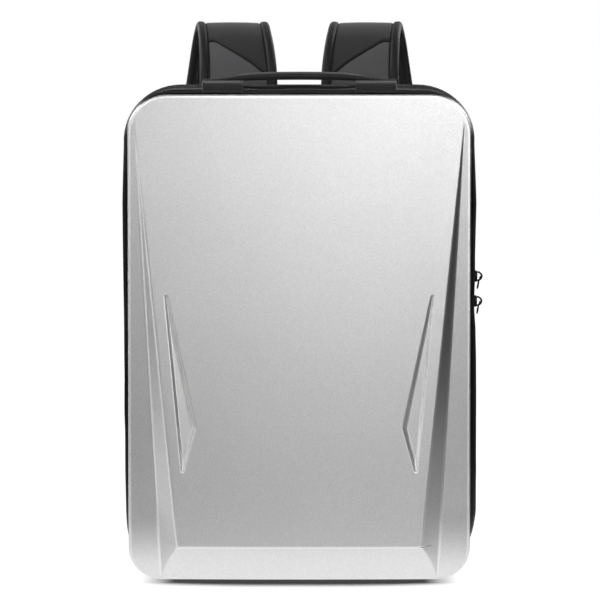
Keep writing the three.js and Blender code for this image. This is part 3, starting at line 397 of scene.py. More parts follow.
def shell_height(x, z):
    """How far the face stands in front of the rim, before its outer edge is rounded."""
    out = np.abs(x)
    panel = panel_depth(z)
    edge, foot = panel_edge(z), flank_foot(z)
    band = band_depth(z)
    fall = (panel_depth(z) - band) / np.maximum(foot - edge, 1e-5)
    flank = panel - fall * (out - edge)
    bevel = panel_depth(FOOT[1]) - BEVEL_DEPTH * (1 - z / FOOT[1])
    reach = np.minimum(CREASE, np.maximum(foot - edge, 0) * 0.25 + 1e-6)
    height = soft_min(panel, bevel, CREASE)
    height = np.where(z < APEX[1], soft_min(height, flank, reach), height)
    height = np.where(z < APEX[1], soft_max(height, band, reach), height)
    return height + CROWN * (1 - (out / HALF) ** 2) - pocket_cut(out, z)


# %% [markdown]
# The mesh is a grid whose upright lines run along the creases and crowd together there. Round it, rings
# follow the outline and roll over the edge, so the edge keeps an even rounding in the corners too.

# %% Lines of the shell's mesh
def crowd(middle, reach, count):
    """Offsets that are closer together near the middle of a crease."""
    steps = np.linspace(-1, 1, count)
    return middle + np.sign(steps) * np.abs(steps) ** 1.5 * reach


def half_width(z, inset):
    """Half the width of the shell's outline, inset, at a height."""
    z = np.asarray(z, float)
    result = np.full(z.shape, HALF - inset)
    for radius, gap in ((CORNER_TOP, TALL - z), (CORNER_FOOT, z)):
        rest = np.clip((radius - inset) ** 2 - (radius - gap) ** 2, 0, None)
        result = np.where(gap < radius, HALF - radius + np.sqrt(rest), result)
    return result


def mitre_out(z):
    """Where the foot bevel meets the flank, out from the middle: the mitre below the panel's corner."""
    edge, foot = float(panel_edge(z)), float(flank_foot(z))
    if z >= FOOT[1]:
        return blend(foot, edge, 0.5)
    fall = float(panel_depth(z) - band_depth(z)) / (foot - edge)
    drop = float(panel_depth(z)) - float(panel_depth(FOOT[1])) + BEVEL_DEPTH * (1 - z / FOOT[1])
    return min(foot, edge + drop / fall)


def shell_lines(z):
    """Distances from the middle of the upright mesh lines at one height, from the edge inwards."""
    edge, foot = float(panel_edge(z)), float(flank_foot(z))
    top, tip, tip_in, knee, top_in = POCKET
    share = (z - tip["up"]) / (top["up"] - tip["up"])
    pocket_out = float(blend(tip["out"], top["out"], share))
    inner = [tip_in, knee, top_in]
    pocket_in = float(np.interp(z, [row["up"] for row in inner], [row["out"] for row in inner]))
    if not tip["up"] <= z <= top["up"]:
        pocket_in = pocket_out - (tip["out"] - tip_in["out"])
    wanted = [float(half_width(z, EDGE_ROUND))]
    wanted += list(wanted[0] - np.array([0.5, 1.1, 2.0]) * MM)
    wanted += list(blend(wanted[0], foot, np.array([0.3, 0.6, 0.8])))
    wanted += list(crowd(foot, 2.0 * MM, 7)[::-1])
    wanted += list(np.clip(crowd(mitre_out(z), 1.6 * MM, 7), edge, foot)[::-1])
    wanted += list(crowd(edge, 2.0 * MM, 7)[::-1])
    wanted += list(blend(edge, pocket_out, np.array([0.5])))
    wanted += list(np.linspace(pocket_out + 1.6 * MM, pocket_out - 3.2 * MM, 9))
    wanted += list(np.linspace(pocket_in + 5.4 * MM, pocket_in - 1.6 * MM, 11))
    wanted += list(pocket_in * np.array([0.94, 0.82, 0.66, 0.5, 0.34, 0.17]))
    least = 0.28 * MM
    for i in range(1, len(wanted)):
        wanted[i] = min(wanted[i], wanted[i - 1] - least)
    return wanted + [0.0]


def shell_rows():
    """Heights of the level mesh lines."""
    low = EDGE_ROUND
    high = TALL - EDGE_ROUND
    foot, knee = POCKET[1]["up"], POCKET[3]["up"]
    top = POCKET[0]["up"]
    turn = np.radians(np.linspace(0, 90, 14))
    rows = list(CORNER_FOOT - (CORNER_FOOT - EDGE_ROUND) * np.cos(turn))
    rows += list(TALL - CORNER_TOP + (CORNER_TOP - EDGE_ROUND) * np.sin(turn))
    rows += list(np.linspace(low, FOOT[1] - 3 * MM, 28))
    rows += list(crowd(FOOT[1], 2.5 * MM, 9))
    rows += list(np.linspace(FOOT[1] + 5 * MM, foot - 3 * MM, 12))
    rows += list(np.linspace(foot - 2 * MM, foot + 8 * MM, 15))
    rows += list(np.linspace(foot + 10 * MM, knee - 5 * MM, 8))
    rows += list(crowd(knee, 4 * MM, 11))
    rows += list(np.linspace(knee + 9 * MM, top - 12 * MM, 18))
    rows += list(np.linspace(top - 9 * MM, top + 2 * MM, 15))
    rows += list(np.linspace(top + 8 * MM, TALL - CORNER_TOP, 16))
    rows += [high - 2.0 * MM, high - 1.1 * MM, high - 0.5 * MM]
    rows = sorted(r for r in rows if low - 1e-9 <= r <= high + 1e-9)
    kept = [rows[0]]
    for r in rows[1:]:
        if r - kept[-1] > 0.45 * MM:
            kept.append(r)
    kept[-1] = high
    return kept


# %% Mesh helper
def mesh_piece(name, points, faces):
    """A smooth mesh object from points and faces, its doubled points merged and its faces turned outwards."""
    mesh = bpy.data.meshes.new(name)
    mesh.from_pydata([tuple(map(float, p)) for p in points], [], faces)
    face_outwards(mesh, lambda work: bmesh.ops.remove_doubles(work, verts=work.verts, dist=1e-6))
    mesh.shade_smooth()
    return add_object(name, mesh)


def grid_faces(rows, columns, loop_columns=False):
    """Faces of a grid of points that are stored row by row."""
    faces = []
    for i in range(rows - 1):
        for j in range(columns if loop_columns else columns - 1):
            j2 = (j + 1) % columns
            faces.append(tuple(a * columns + b for a, b in ((i, j), (i, j2), (i + 1, j2), (i + 1, j))))
    return faces


# %% Front shell mesh
EDGE_TURN = np.radians(np.linspace(10, 90, 9))
SHELL_WALL = 2.4 * MM
BEND_REACH = 0.7 * MM  # heights this far apart are compared to find a crease
FULL_BEND = 0.3 * MM  # and differ by this much on a full one
MITRE_CLEAR = 1.5 * MM  # no painted highlight this close to the low mitres
EDGE_HIGHLIGHT_IN, EDGE_HIGHLIGHT_HALF = 1.3 * MM, 0.95 * MM  # the painted highlight line along the outer edge
HIGHLIGHT_FROM, HIGHLIGHT_RISE = 12 * MM, 35 * MM  # the painted highlight fades in above this height, over this rise, so it is weaker low down
POCKET_PAINTED_SHADE, POCKET_DEEP = 0.25, 1.5 * MM  # painted shade in a pressing, and the depth at which it is full


def front_shell():
    rows = shell_rows()
    grid = []
    for z in rows:
        half = shell_lines(z)
        xs = np.array([-h for h in half[:-1]] + half[::-1])
        depth = shell_height(xs, np.full(xs.shape, z))
        grid.append([(x, RIM - d, z) for x, d in zip(xs, depth)])
    columns = len(grid[0])
    points = [p for row in grid for p in row]
    faces = grid_faces(len(rows), columns)
    last = len(rows) - 1
    border = [(0, j) for j in range(columns)] + [(i, columns - 1) for i in range(1, last)]
    border += [(last, j) for j in reversed(range(columns))] + [(i, 0) for i in reversed(range(1, last))]
    ring = [i * columns + j for i, j in border]
    start = np.array([(grid[i][j][0], grid[i][j][2]) for i, j in border])
    away = np.array([outward(x, z) for x, z in start])
    for turn in EDGE_TURN:
        x, z = (start + away * EDGE_ROUND * math.sin(turn)).T
        y = RIM - shell_height(x, z) + EDGE_ROUND * (1 - math.cos(turn))
        ring = add_ring(points, faces, ring, np.stack([x, y, z], 1))
    add_ring(points, faces, ring, np.stack([x, np.full(x.shape, RIM), z], 1))
    return mesh_piece("shell_front", points, faces)


def add_ring(points, faces, ring, places):
    """Adds a closed ring of points and the faces that join it to the ring before; returns its indices."""
    new_ring = list(range(len(points), len(points) + len(places)))
    points.extend(places)
    for k in range(len(ring)):
        k2 = (k + 1) % len(ring)
        faces.append((ring[k], ring[k2], new_ring[k2], new_ring[k]))
    return new_ring


def outward(x, z):
    """Direction in which the shell's outline faces at a point just inside it."""
    upper = z > TALL / 2
    radius = CORNER_TOP if upper else CORNER_FOOT
    across = abs(x) - (HALF - radius)
    along = (z - (TALL - radius)) if upper else (radius - z)
    across, along = max(0.0, across), max(0.0, along)
    if across == 0 and along == 0:
        along = 1.0
    size = math.hypot(across, along)
    return math.copysign(across / size, x), (along / size) * (1 if upper else -1)


def edge_distance(x, z):
    """How far inside the shell's outline a place is."""
    upper = z > TALL / 2
    radius = np.where(upper, CORNER_TOP, CORNER_FOOT)
    across = np.abs(x) - (HALF - radius)
    along = np.where(upper, z - TALL, -z) + radius
    corner = np.hypot(np.maximum(across, 0), np.maximum(along, 0))
    return radius - np.where(corner > 0, corner, np.maximum(across, along))


def painted_light_share(places):
    """How much painted light the paint gets at each place: a painted highlight on the moulded creases and along
    the outer edge, weaker low down, and painted shade in the pockets.
    """
    x, y, z = places.T
    here = shell_height(x, z)
    bend_x = shell_height(x + BEND_REACH, z) + shell_height(x - BEND_REACH, z) - 2 * here
    bend_z = shell_height(x, z + BEND_REACH) + shell_height(x, z - BEND_REACH) - 2 * here
    crease = np.clip(np.hypot(bend_x, bend_z) / FULL_BEND, 0, 1)
    heights = np.linspace(0.5 * MM, FOOT[1] - 0.5 * MM, 60)
    mitre = np.interp(z, heights, [mitre_out(up) for up in heights])
    from_mitre = np.where(z < FOOT[1] - 2 * MM, np.abs(np.abs(x) - mitre), 1)
    crease *= np.clip(from_mitre / MITRE_CLEAR - 0.5, 0, 1)
    # the painted highlight is weaker low down
    painted_light_amount = np.clip((z - HIGHLIGHT_FROM) / HIGHLIGHT_RISE, 0, 1)
    # painted shade in the pockets, where there is no crease highlight
    pocket_shade = POCKET_PAINTED_SHADE * np.clip(pocket_cut(np.abs(x), z) / POCKET_DEEP, 0, 1)
    on_face = y - (RIM - here) < 0.3 * MM
    face = np.where(on_face, crease * blend(0.3, 1, painted_light_amount) - pocket_shade * (1 - crease), 0)
    edge = np.clip(1.9 - np.abs(edge_distance(x, z) - EDGE_HIGHLIGHT_IN) / EDGE_HIGHLIGHT_HALF, 0, 1)
    return np.maximum(face, edge * painted_light_amount)


shell = front_shell()
# a number at each point for the painted highlight and the painted shade
painted_light = shell.data.attributes.new("painted_light", "FLOAT", "POINT")
painted_light.data.foreach_set("value", painted_light_share(points_of(shell)))
thicken(shell, SHELL_WALL)
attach(shell, "bag")
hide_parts("front_shell")
print("front shell faces:", len(shell.data.polygons))

# %% [markdown]
# The paint is silver with very fine metal flake under a thin clear coat. The flake tilts the light a little
# from grain to grain, so it is a bump of small cells over a slightly uneven tone, not a picture of dots.
# The creases and the outer edge get a painted highlight, brighter paint where their rounding would catch the
# light, and the pockets get painted shade, so the mesh carries a number for that at each of its points.

# %% Silver paint
PAINT_TONE = 0.60
PAINTED_LIGHT_TONE = 0.36  # what the painted highlight adds on the creases and the edge
FLAKES, SPECKS, CLOUDS = 1500.0, 700.0, 14.0  # how many there are in a metre


def silver_paint():
    material, tree, surface, place = start_finish(
        "silver_paint", Metallic=0.93, Roughness=0.36, Coat_Weight=0.12, Coat_Roughness=0.22
    )
    # painted highlight on the creases and the edge, painted shade in the pockets, read from the mesh
    painted_light_amount = add_node(tree, "Attribute", attribute_name="painted_light").outputs["Fac"]
    cells = add_node(tree, "TexVoronoi", {"Vector": place, "Scale": FLAKES})
    grain = add_node(tree, "SeparateColor", {"Color": cells.outputs["Color"]}).outputs[0]
    specks = noise_node(tree, place, SPECKS, 2.0)
    tone = math_node(tree, "MULTIPLY_ADD", noise_node(tree, place, CLOUDS, 3.0), 0.04, PAINT_TONE)
    tone = math_node(tree, "MULTIPLY_ADD", grain, 0.10, tone)
    tone = math_node(tree, "MULTIPLY_ADD", painted_light_amount, PAINTED_LIGHT_TONE, tone)
    greenish = math_node(tree, "MULTIPLY", tone, 1.008)
    colour = add_node(tree, "CombineColor", {0: tone, 1: greenish, 2: tone})
    tree.links.new(colour.outputs[0], surface.inputs["Base Color"])
    tree.links.new(math_node(tree, "MULTIPLY_ADD", specks, 0.16, 0.32), surface.inputs["Roughness"])
    join_bump(tree, surface, grain, 0.25, 0.00012)
    join_bump(tree, surface, specks, 0.3, 0.00012)
    return material


shell.data.materials.append(silver_paint())

# %% [markdown]
# ## Cloth body
#
# Behind the shell the real bag is a sewn box of coated nylon: a front gusset tucked into the shell's rim, the
# zip, and a rear dish. All of them follow one outline, which swells a little just behind the rim. So one
# function gives the outline at any depth, and every strip, tooth and seam is laid on it with a small lift.

# %% Helpers for skins and tubes
def skin(name, rings, round_ring=True, ends=False, finishes=()):
    """A skin over rings of points, with a UV map in metres: round the ring, and along the piece."""
    rings = np.asarray(rings, float)
    rows, columns = rings.shape[:2]
    faces = grid_faces(rows, columns, loop_columns=round_ring)
    span = columns if round_ring else columns - 1
    nearby = np.roll(rings, -1, axis=1) - rings
    round_way = np.concatenate([[0], np.cumsum(np.linalg.norm(nearby, axis=2).mean(0))])
    along_way = np.concatenate([[0], np.cumsum(np.linalg.norm(np.diff(rings, axis=0), axis=2).mean(1))])
    i, j = np.divmod(np.arange(len(faces)), span)
    u = np.stack([round_way[j], round_way[j + 1], round_way[j + 1], round_way[j]], 1)
    v = np.stack([along_way[i], along_way[i], along_way[i + 1], along_way[i + 1]], 1)
    mesh = bpy.data.meshes.new(name)
    mesh.from_pydata(rings.reshape(-1, 3).tolist(), [], faces)
    metres = mesh.uv_layers.new(name="metres")
    metres.data.foreach_set("uv", np.stack([u.ravel(), v.ravel()], 1).ravel())

    def close_ends(work):
        work.verts.ensure_lookup_table()
        for row in (0, rows - 1):
            work.faces.new([work.verts[row * columns + k] for k in range(columns)])

    face_outwards(mesh, close_ends if ends else None)
    mesh.shade_smooth()
    for finish in finishes:
        mesh.materials.append(finish)
    return add_object(name, mesh)


def settle_piece(piece, slot, *nodes, body="bag"):
    """Says which body a piece rides on and which CAD nodes it replaces; the slot is not used."""
    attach(piece, body)
    if nodes:
        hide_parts(*nodes)
    return piece


def tube_rings(path, radius, sides):
    """Rings round a path, which turn as little as they can from one to the next."""
    path = np.asarray(path, float)
    ahead = directions(path)
    side = np.cross(ahead[0], [0.31, 0.17, 0.93])  # a direction in which no path here starts
    angles = np.linspace(0, 2 * np.pi, sides, endpoint=False)
    rings = []
    for place, forward in zip(path, ahead):
        side = side - forward * side.dot(forward)
        side /= np.linalg.norm(side)
        other = np.cross(forward, side)
        rings.append(place + radius * (np.outer(np.cos(angles), side) + np.outer(np.sin(angles), other)))
    return rings


def join_pieces(name, pieces):
    """Several meshes as one piece."""
    work = bmesh.new()
    finishes = []
    for piece in pieces:
        finishes += [finish for finish in piece.data.materials if finish not in finishes]
        work.from_mesh(piece.data)
        bpy.data.objects.remove(piece)
    mesh = bpy.data.meshes.new(name)
    work.to_mesh(mesh)
    work.free()
    for finish in finishes:
        mesh.materials.append(finish)
    return add_object(name, mesh)


# %% [markdown]
# The fabrics are all woven or knitted yarn, so they share one recipe. Two waves at right angles make the
# threads, their product gives each crossing a small bump, and slow noise varies the shade as dye and wear do.
# The threads run along the UV map, which is in metres, so their pitch is the real one.

# %% Fabric finishes
BLUE_BLACK = (1, 1, 1.04)
UNEVEN = 0.3  # how much the dye varies
SEAM_PAINTED_SHADE = ((0.0, 0.01), (0.5, 0.3), (1.0, 0.93))  # painted shade in a seam's groove, then the tones above and below it


def wave(tree, vector, pitch, direction="X"):
    """Parallel bands whose distance from one to the next is the pitch, in metres."""
    settings = {"wave_type": "BANDS", "bands_direction": direction, "wave_profile": "SIN"}
    node = add_node(tree, "TexWave", {"Vector": vector, "Scale": math.pi / 10 / pitch}, **settings)
    return node.outputs["Fac"]


def woven(name, tone, pitch, roughness, relief=0.00012, sheen=0.2, gloss=0.5, shaded_by=""):
    """A plain weave: pitch is the distance from thread to thread, and relief is how high they stand."""
    material, tree, surface, place = start_finish(
        name, Roughness=roughness, Sheen_Weight=sheen, Sheen_Roughness=0.4, Specular_IOR_Level=gloss
    )
    metres = add_node(tree, "UVMap", uv_map="metres").outputs["UV"]
    warp, weft = wave(tree, metres, pitch), wave(tree, metres, pitch, "Y")
    cross = math_node(tree, "MULTIPLY", warp, weft)
    threads = math_node(tree, "MULTIPLY_ADD", cross, 0.5, math_node(tree, "MULTIPLY", warp, 0.5))
    cloud = noise_node(tree, place, 30.0, 4.0)
    shade = math_node(tree, "MULTIPLY_ADD", cloud, UNEVEN, 1 - UNEVEN / 2)
    shade = math_node(tree, "MULTIPLY", shade, math_node(tree, "MULTIPLY_ADD", threads, 0.5, 0.75))
    # painted shade along a seam, read from an attribute of the mesh
    if shaded_by:
        mark = add_node(tree, "Attribute", attribute_name=shaded_by).outputs["Fac"]
        shade = math_node(tree, "MULTIPLY", shade, ramp(tree, mark, *SEAM_PAINTED_SHADE))
    light = tuple(2 * tone * tint for tint in BLUE_BLACK)
    colour = ramp(tree, math_node(tree, "MULTIPLY", shade, 0.5), (0.0, 0.0), (1.0, light))
    tree.links.new(colour, surface.inputs["Base Color"])
    tree.links.new(math_node(tree, "MULTIPLY_ADD", cloud, 0.2, roughness - 0.1), surface.inputs["Roughness"])
    join_bump(tree, surface, threads, 0.6, relief)
    join_bump(tree, surface, cloud, 0.15, 0.0012)
    return material


def ribbed(name, tone, pitch, roughness):
    """Woven tape: ribs run across it, with fine yarn in each rib."""
    material, tree, surface, place = start_finish(name, Roughness=roughness, Sheen_Weight=0.15)
    metres = add_node(tree, "UVMap", uv_map="metres").outputs["UV"]
    ribs, yarn = wave(tree, metres, pitch, "Y"), wave(tree, metres, pitch * 0.45)
    height = math_node(tree, "MULTIPLY_ADD", yarn, 0.3, ribs)
    shade = math_node(tree, "MULTIPLY_ADD", height, 0.35, 0.55)
    shade = math_node(tree, "MULTIPLY", shade, noise_node(tree, place, 45.0, 4.0))
    tree.links.new(ramp(tree, shade, (0.0, tone * 0.2), (0.8, tone * 2)), surface.inputs["Base Color"])
    join_bump(tree, surface, height, 0.7, 0.00022)
    return material


def air_mesh(name, tone, pitch):
    """Spacer mesh: small round holes in close rows."""
    material, tree, surface, place = start_finish(name, Roughness=0.75, Sheen_Weight=0.3)
    cells = add_node(tree, "TexVoronoi", {"Vector": place, "Scale": 1 / pitch, "Randomness": 0.15})
    hole = ramp(tree, cells.outputs["Distance"], (0.18, 0.0), (0.42, 1.0))
    shade = math_node(tree, "MULTIPLY_ADD", noise_node(tree, place, 25.0, 3.0), 0.5, 0.7)
    shade = math_node(tree, "MULTIPLY", hole, shade)
    tree.links.new(ramp(tree, shade, (0.0, tone * 0.15), (1.0, tone)), surface.inputs["Base Color"])
    join_bump(tree, surface, hole, 0.8, 0.0005)
    return material


def worn(name, scale, detail, least_rough, rough_spread, bump, depth, **shader):
    """A smooth hard finish that use has made uneven. Returns its tree, shader and wear too, for a colour."""
    material, tree, surface, place = start_finish(name, **shader)
    wear = noise_node(tree, place, scale, detail)
    rough = math_node(tree, "MULTIPLY_ADD", wear, rough_spread, least_rough)
    tree.links.new(rough, surface.inputs["Roughness"])
    join_bump(tree, surface, wear, bump, depth)
    return material, tree, surface, wear


nylon = woven("coated_nylon", 0.006, 0.0007, 0.3, relief=0.00003, sheen=0.03, gloss=0.4)
piping_cloth = woven("piping_cloth", 0.006, 0.0007, 0.75, sheen=0.0, gloss=0.15)
patch_cloth = woven("patch_cloth", 0.02, 0.0008, 0.6)
strap_cloth = woven("strap_cloth", 0.18, 0.0006, 0.62, sheen=0.25, shaded_by="seam_shade")
binding_cloth = woven("binding_cloth", 0.018, 0.0009, 0.6, sheen=0.1)
webbing_finish = ribbed("webbing", 0.02, 0.0018, 0.6)
zip_tape_finish = ribbed("zip_tape", 0.012, 0.0009, 0.55)
pad_mesh = air_mesh("air_mesh", 0.03, 0.0032)
thread_finish = woven("thread", 0.03, 0.0004, 0.5)

# %% Outline of the cloth body
BODY_DEPTH = 88 * MM
SWELL = 9.5 * MM
TAPER = 5 * MM
ROUND_BACK = 16 * MM
BACK_CORNER_TOP, BACK_CORNER_FOOT = 56 * MM, 46 * MM
NEARBY = 2.5 * MM * np.linspace(-1, 1, 5)
BODY_ROWS = table(  # depth behind the rim, and how much of the swell and of the corners' change is reached
    "depth side corner",
    (1.1 * MM, 0.1, 0.25),
    (5.3 * MM, 0.6, 0.6),
    (15 * MM, 0.9, 0.9),
    (35.2 * MM, 1.0, 1.0),
    (54.6 * MM, 1.0, 1.0),
    (70.4 * MM, 0.93, 1.0),
)
SIDES_FROM = 12 * MM  # depth from which the sides stand out fully
BODY_SIDES = table(  # height, and how far each side of the cloth stands out there beyond the even outline
    "up left right",
    (0, 0, 0),
    (30, 0.3, 1.5),
    (54, 1.5, 5.0),
    (92, 1.9, 4.5),
    (166, 1.2, 3.7),
    (203, 1.3, 3.0),
    (232, 1.0, 2.0),
    (250, 1.0, 0.5),
    (290, 1.1, 0.5),
    (352, 0.9, 1.2),
    (378, 0, 0),
    (408, -1.3, -1.6),
    (440, 0, 0),
    unit=MM,
)


def eased(columns, key, places):
    """The mean of a table's column over nearby places, which rounds the corners between its rows."""
    along = next(iter(columns.values()))
    return float(np.mean(np.interp(places, along, columns[key])))


def body_shape(depth, lift=0.0):
    """Half width, floor, top and corner radii of the body at a depth, moved outwards by a lift."""
    swell = SWELL * eased(BODY_ROWS, "side", depth + NEARBY)
    corner = eased(BODY_ROWS, "corner", depth + NEARBY)
    top, foot = blend(CORNER_TOP, BACK_CORNER_TOP, corner), blend(CORNER_FOOT, BACK_CORNER_FOOT, corner)
    return [HALF + swell + lift, max(0.0, -lift), TALL + swell + lift, top + lift, foot + lift]


def outline_ring(shape, depth):
    """Points round an outline, anticlockwise from the middle of the floor."""
    half, low, high, top, foot = shape
    runs = [
        ((0, low), (half - foot, low), 18),
        ((half - foot, low + foot), foot, -90, 12),
        ((half, low + foot), (half, high - top), 76),
        ((half - top, high - top), top, 0, 14),
        ((half - top, high), (0, high), 30),
    ]
    places = []
    for run in runs:
        share = np.arange(run[-1]) / run[-1]
        if len(run) == 3:
            places += [blend(np.array(run[0]), np.array(run[1]), s) for s in share]
        else:
            centre, radius, first, _ = run
            angles = np.radians(first + 90 * share)
            places += [(centre[0] + radius * math.cos(a), centre[1] + radius * math.sin(a)) for a in angles]
    right = np.array(places)
    left = np.concatenate([[(0, high)], right[:0:-1] * (-1, 1)])
    x, z = np.concatenate([right, left]).T
    x = x * (1 - TAPER / HALF * (1 - z / high))
    full = np.clip(depth / SIDES_FROM, 0, 1)
    for side, key in ((-1, "left"), (1, "right")):
        stand_out = full * np.interp(z, BODY_SIDES["up"], BODY_SIDES[key])
        x = np.where(x * side > HALF / 2, x + side * stand_out, x)
    return np.stack([x, np.full(x.shape, RIM + depth), z], 1)


def ring_outward(ring):
    """Directions in which a ring's points face, in its own plane."""
    ahead = np.roll(ring, -1, axis=0) - np.roll(ring, 1, axis=0)
    side = np.stack([ahead[:, 2], np.zeros(len(ring)), -ahead[:, 0]], 1)
    return side / np.linalg.norm(side, axis=1)[:, None]


def on_body(depth, lift=0.0):
    return outline_ring(body_shape(depth, lift), depth)


def ripple(ring, size, scale, seed):
    """Moves a ring's points in and out by slow noise, as cloth that isn't quite taut. The floor stays even."""
    amount = np.array([noise.noise(Vector((p * scale + seed).tolist())) for p in ring])
    amount *= np.clip((ring[:, 2] - 4 * MM) / (30 * MM), 0, 1)
    return ring + ring_outward(ring) * (amount * size)[:, None]


def above(ring, height):
    """The part of a ring over a height, as an open line from the right side to the left."""
    return ring[ring[:, 2] > height]


def below(ring, height):
    """The part of a ring up to a height, as an open line from the left side to the right."""
    keep = ring[:, 2] <= height
    first = int(np.argmax(np.roll(keep, len(ring) // 2)))
    return np.roll(ring, len(ring) // 2 - first, axis=0)[: int(keep.sum())]


print("points round the body:", len(on_body(30 * MM)))

# %% Front gusset
TUCK = 3.8 * MM  # the gusset's front edge is this far inside the shell's outline
FRONT_END = 53.7 * MM
CLOTH_WALL = 1.2 * MM
GUSSET_HEM = ((4.4, -0.3), (3.6, 0.4), (2.2, 0.9), (0.9, 0.6), (0.2, -0.2), (0.1, -1.2))  # from the end, lift


def tucked(depth):
    shape = [HALF - TUCK, TUCK, TALL - TUCK, CORNER_TOP - TUCK, CORNER_FOOT - TUCK]
    return outline_ring(shape, depth)


gusset_depths = np.concatenate([np.linspace(1.4, 8, 8), np.linspace(10.5, 48, 14)]) * MM
gusset_rings = [tucked(-7 * MM), tucked(0.2 * MM)]
gusset_rings += [ripple(on_body(d, -0.4 * MM), 1.3 * MM, 22, 3.1) for d in gusset_depths]
gusset_rings += [on_body(FRONT_END - d * MM, lift * MM) for d, lift in GUSSET_HEM]
gusset = skin("body_gusset", gusset_rings, finishes=[nylon])
thicken(gusset, CLOTH_WALL)
settle_piece(gusset, "body_nylon", "front_gusset")
print("gusset faces:", len(gusset.data.polygons))

# %% [markdown]
# A cord in a strip of the same cloth, called piping, covers the joint between shell and cloth. It is a tube
# along the rim. Rows of stitches run beside the zip: each stitch is a short rounded bar, laid on the outline.

# %% Piping and stitches
THREAD = 0.35 * MM  # half its thickness
LONG_STITCH, STITCH, SHORT_STITCH = np.array([(2.6, 1.2), (2.4, 1.1), (2.2, 1.0)]) * MM  # length and gap
STITCH_SHAPE = ((0.0, 0.35), (0.12, 0.85), (0.5, 1.0), (0.88, 0.85), (1.0, 0.35))  # place along it, thickness
STITCH_SIDES = 5
UPWARDS, BACKWARDS = (0.0, 0.0, 1.0), (0.0, 1.0, 0.0)
A_BIT = 0.1 * MM


def bar_faces(base, rows, sides):
    """Faces of a closed bar of rings whose first point has the number base."""
    faces = [tuple(base + end + turn for turn in range(sides)) for end in (0, (rows - 1) * sides)]
    for start in range(base, base + (rows - 1) * sides, sides):
        for turn in range(sides):
            a, b = start + turn, start + (turn + 1) % sides
            faces.append((a, b, b + sides, a + sides))
    return faces


def stitch_row(path, outwards, length, gap):
    """Short bars of thread along a path, each with rounded ends, a little raised."""
    path = np.asarray(path, float)
    outwards = np.broadcast_to(outwards, path.shape)
    way = way_along(path)
    count = int(way[-1] / (length + gap))
    points, faces = [], []
    for k in range(count):
        start = (k + 0.5) * way[-1] / count - length / 2
        faces += bar_faces(len(points), len(STITCH_SHAPE), STITCH_SIDES)
        for share, thick in STITCH_SHAPE:
            at = start + share * length
            up = sample(outwards, way, at)
            side = np.cross(sample(path, way, at + A_BIT) - sample(path, way, at - A_BIT), up)
            side /= np.linalg.norm(side) + 1e-12
            middle = sample(path, way, at) + up * THREAD * (0.2 + 0.8 * math.sin(math.pi * share))
            for angle in np.linspace(0, 2 * np.pi, STITCH_SIDES, endpoint=False):
                points.append(middle + THREAD * thick * (up * math.sin(angle) + side * math.cos(angle)))
    mesh = bpy.data.meshes.new("row")
    mesh.from_pydata([p.tolist() for p in points], [], faces)
    mesh.uv_layers.new(name="metres")
    mesh.materials.append(thread_finish)
    face_outwards(mesh)
    mesh.shade_smooth()
    return add_object("row", mesh)


def sew(name, slot, rows):
    """Rows of stitches as one piece. A row is its path, the way out of the cloth, a stitch's length and gap."""
    return settle_piece(join_pieces(name, [stitch_row(*row) for row in rows]), slot)


PIPING = 1.5 * MM
PIPING_IN, PIPING_DEPTH = 0.6 * MM, 1.6 * MM
piping_shape = [HALF - PIPING_IN, PIPING_DEPTH, TALL - PIPING_IN, CORNER_TOP, CORNER_FOOT]
piping_line = outline_ring(piping_shape, PIPING_DEPTH)
piping_path = np.concatenate([piping_line, piping_line[:1]])
piping = skin("rim_piping", tube_rings(piping_path, PIPING, 8), finishes=[piping_cloth])
settle_piece(piping, "body_nylon")
seam_rows = []
for depth in (FRONT_END - 6.5 * MM, 72.5 * MM):
    line = on_body(depth, -0.1 * MM)
    keep = line[:, 2] > 20 * MM
    seam_rows.append((line[keep], ring_outward(on_body(depth))[keep], *LONG_STITCH))
sew("zip_stitches", "body_nylon", seam_rows)

# %% Rear body
REAR_START = 70.3 * MM
REAR_HEM = ((0, -1.2), (0.1, -0.2), (0.8, 0.5), (1.6, 0.3))  # mm from the start, lift
BACK_SHARES = (0.8, 0.55, 0.3, 0.08)  # rings of the flat back, as shares of its outline
turn_start = BODY_DEPTH - ROUND_BACK
rear_rings = [on_body(REAR_START + d * MM, lift * MM) for d, lift in REAR_HEM]
for angle in np.radians(np.linspace(0, 90, 12)):
    inset = ROUND_BACK * (1 - math.cos(angle))
    shape = body_shape(turn_start, -inset)
    shape[1] = inset / 2
    ring = outline_ring(shape, turn_start + ROUND_BACK * math.sin(angle))
    rear_rings.append(ripple(ring, 0.8 * MM, 20, 9.2))
last_ring = rear_rings[-1]
rear_rings += [blend(last_ring.mean(0), last_ring, share) for share in BACK_SHARES]
rear = skin("body_rear", rear_rings, finishes=[nylon])
thicken(rear, CLOTH_WALL)
settle_piece(rear, "body_nylon", "rear_body")

# %% [markdown]
# ## The main zip
#
# It runs up one side, over the top and down the other, and a plain strip of cloth joins its ends under the
# bag. A nylon coil zip is two spirals that grip each other, so from outside it shows as a chain of short
# bars. Each bar here is its own small mesh with rounded ends. Painting them on with a pattern would look
# flat side on.

# %% Zip tape and hinge cloth
TEETH_MIDDLE = 62 * MM
ZIP_END = 84 * MM
TAPE = ((-8.2, -1.0), (-7.6, -0.5), (-4.0, -0.35), (-2.6, 0.1), (-2.2, -0.3))  # mm from the middle, lift
HINGE = ((-8.4, -1.4), (-8.0, -0.3), (-6.0, 0.0))


def strip(name, half_section, part, height, finish):
    """A strip of cloth along one part of the body's outline, from half of its even section."""
    section = [*half_section, *((-away, lift) for away, lift in reversed(half_section))]
    lines = [part(on_body(TEETH_MIDDLE + away * MM, lift * MM), height) for away, lift in section]
    return skin(name, lines, round_ring=False, finishes=[finish])


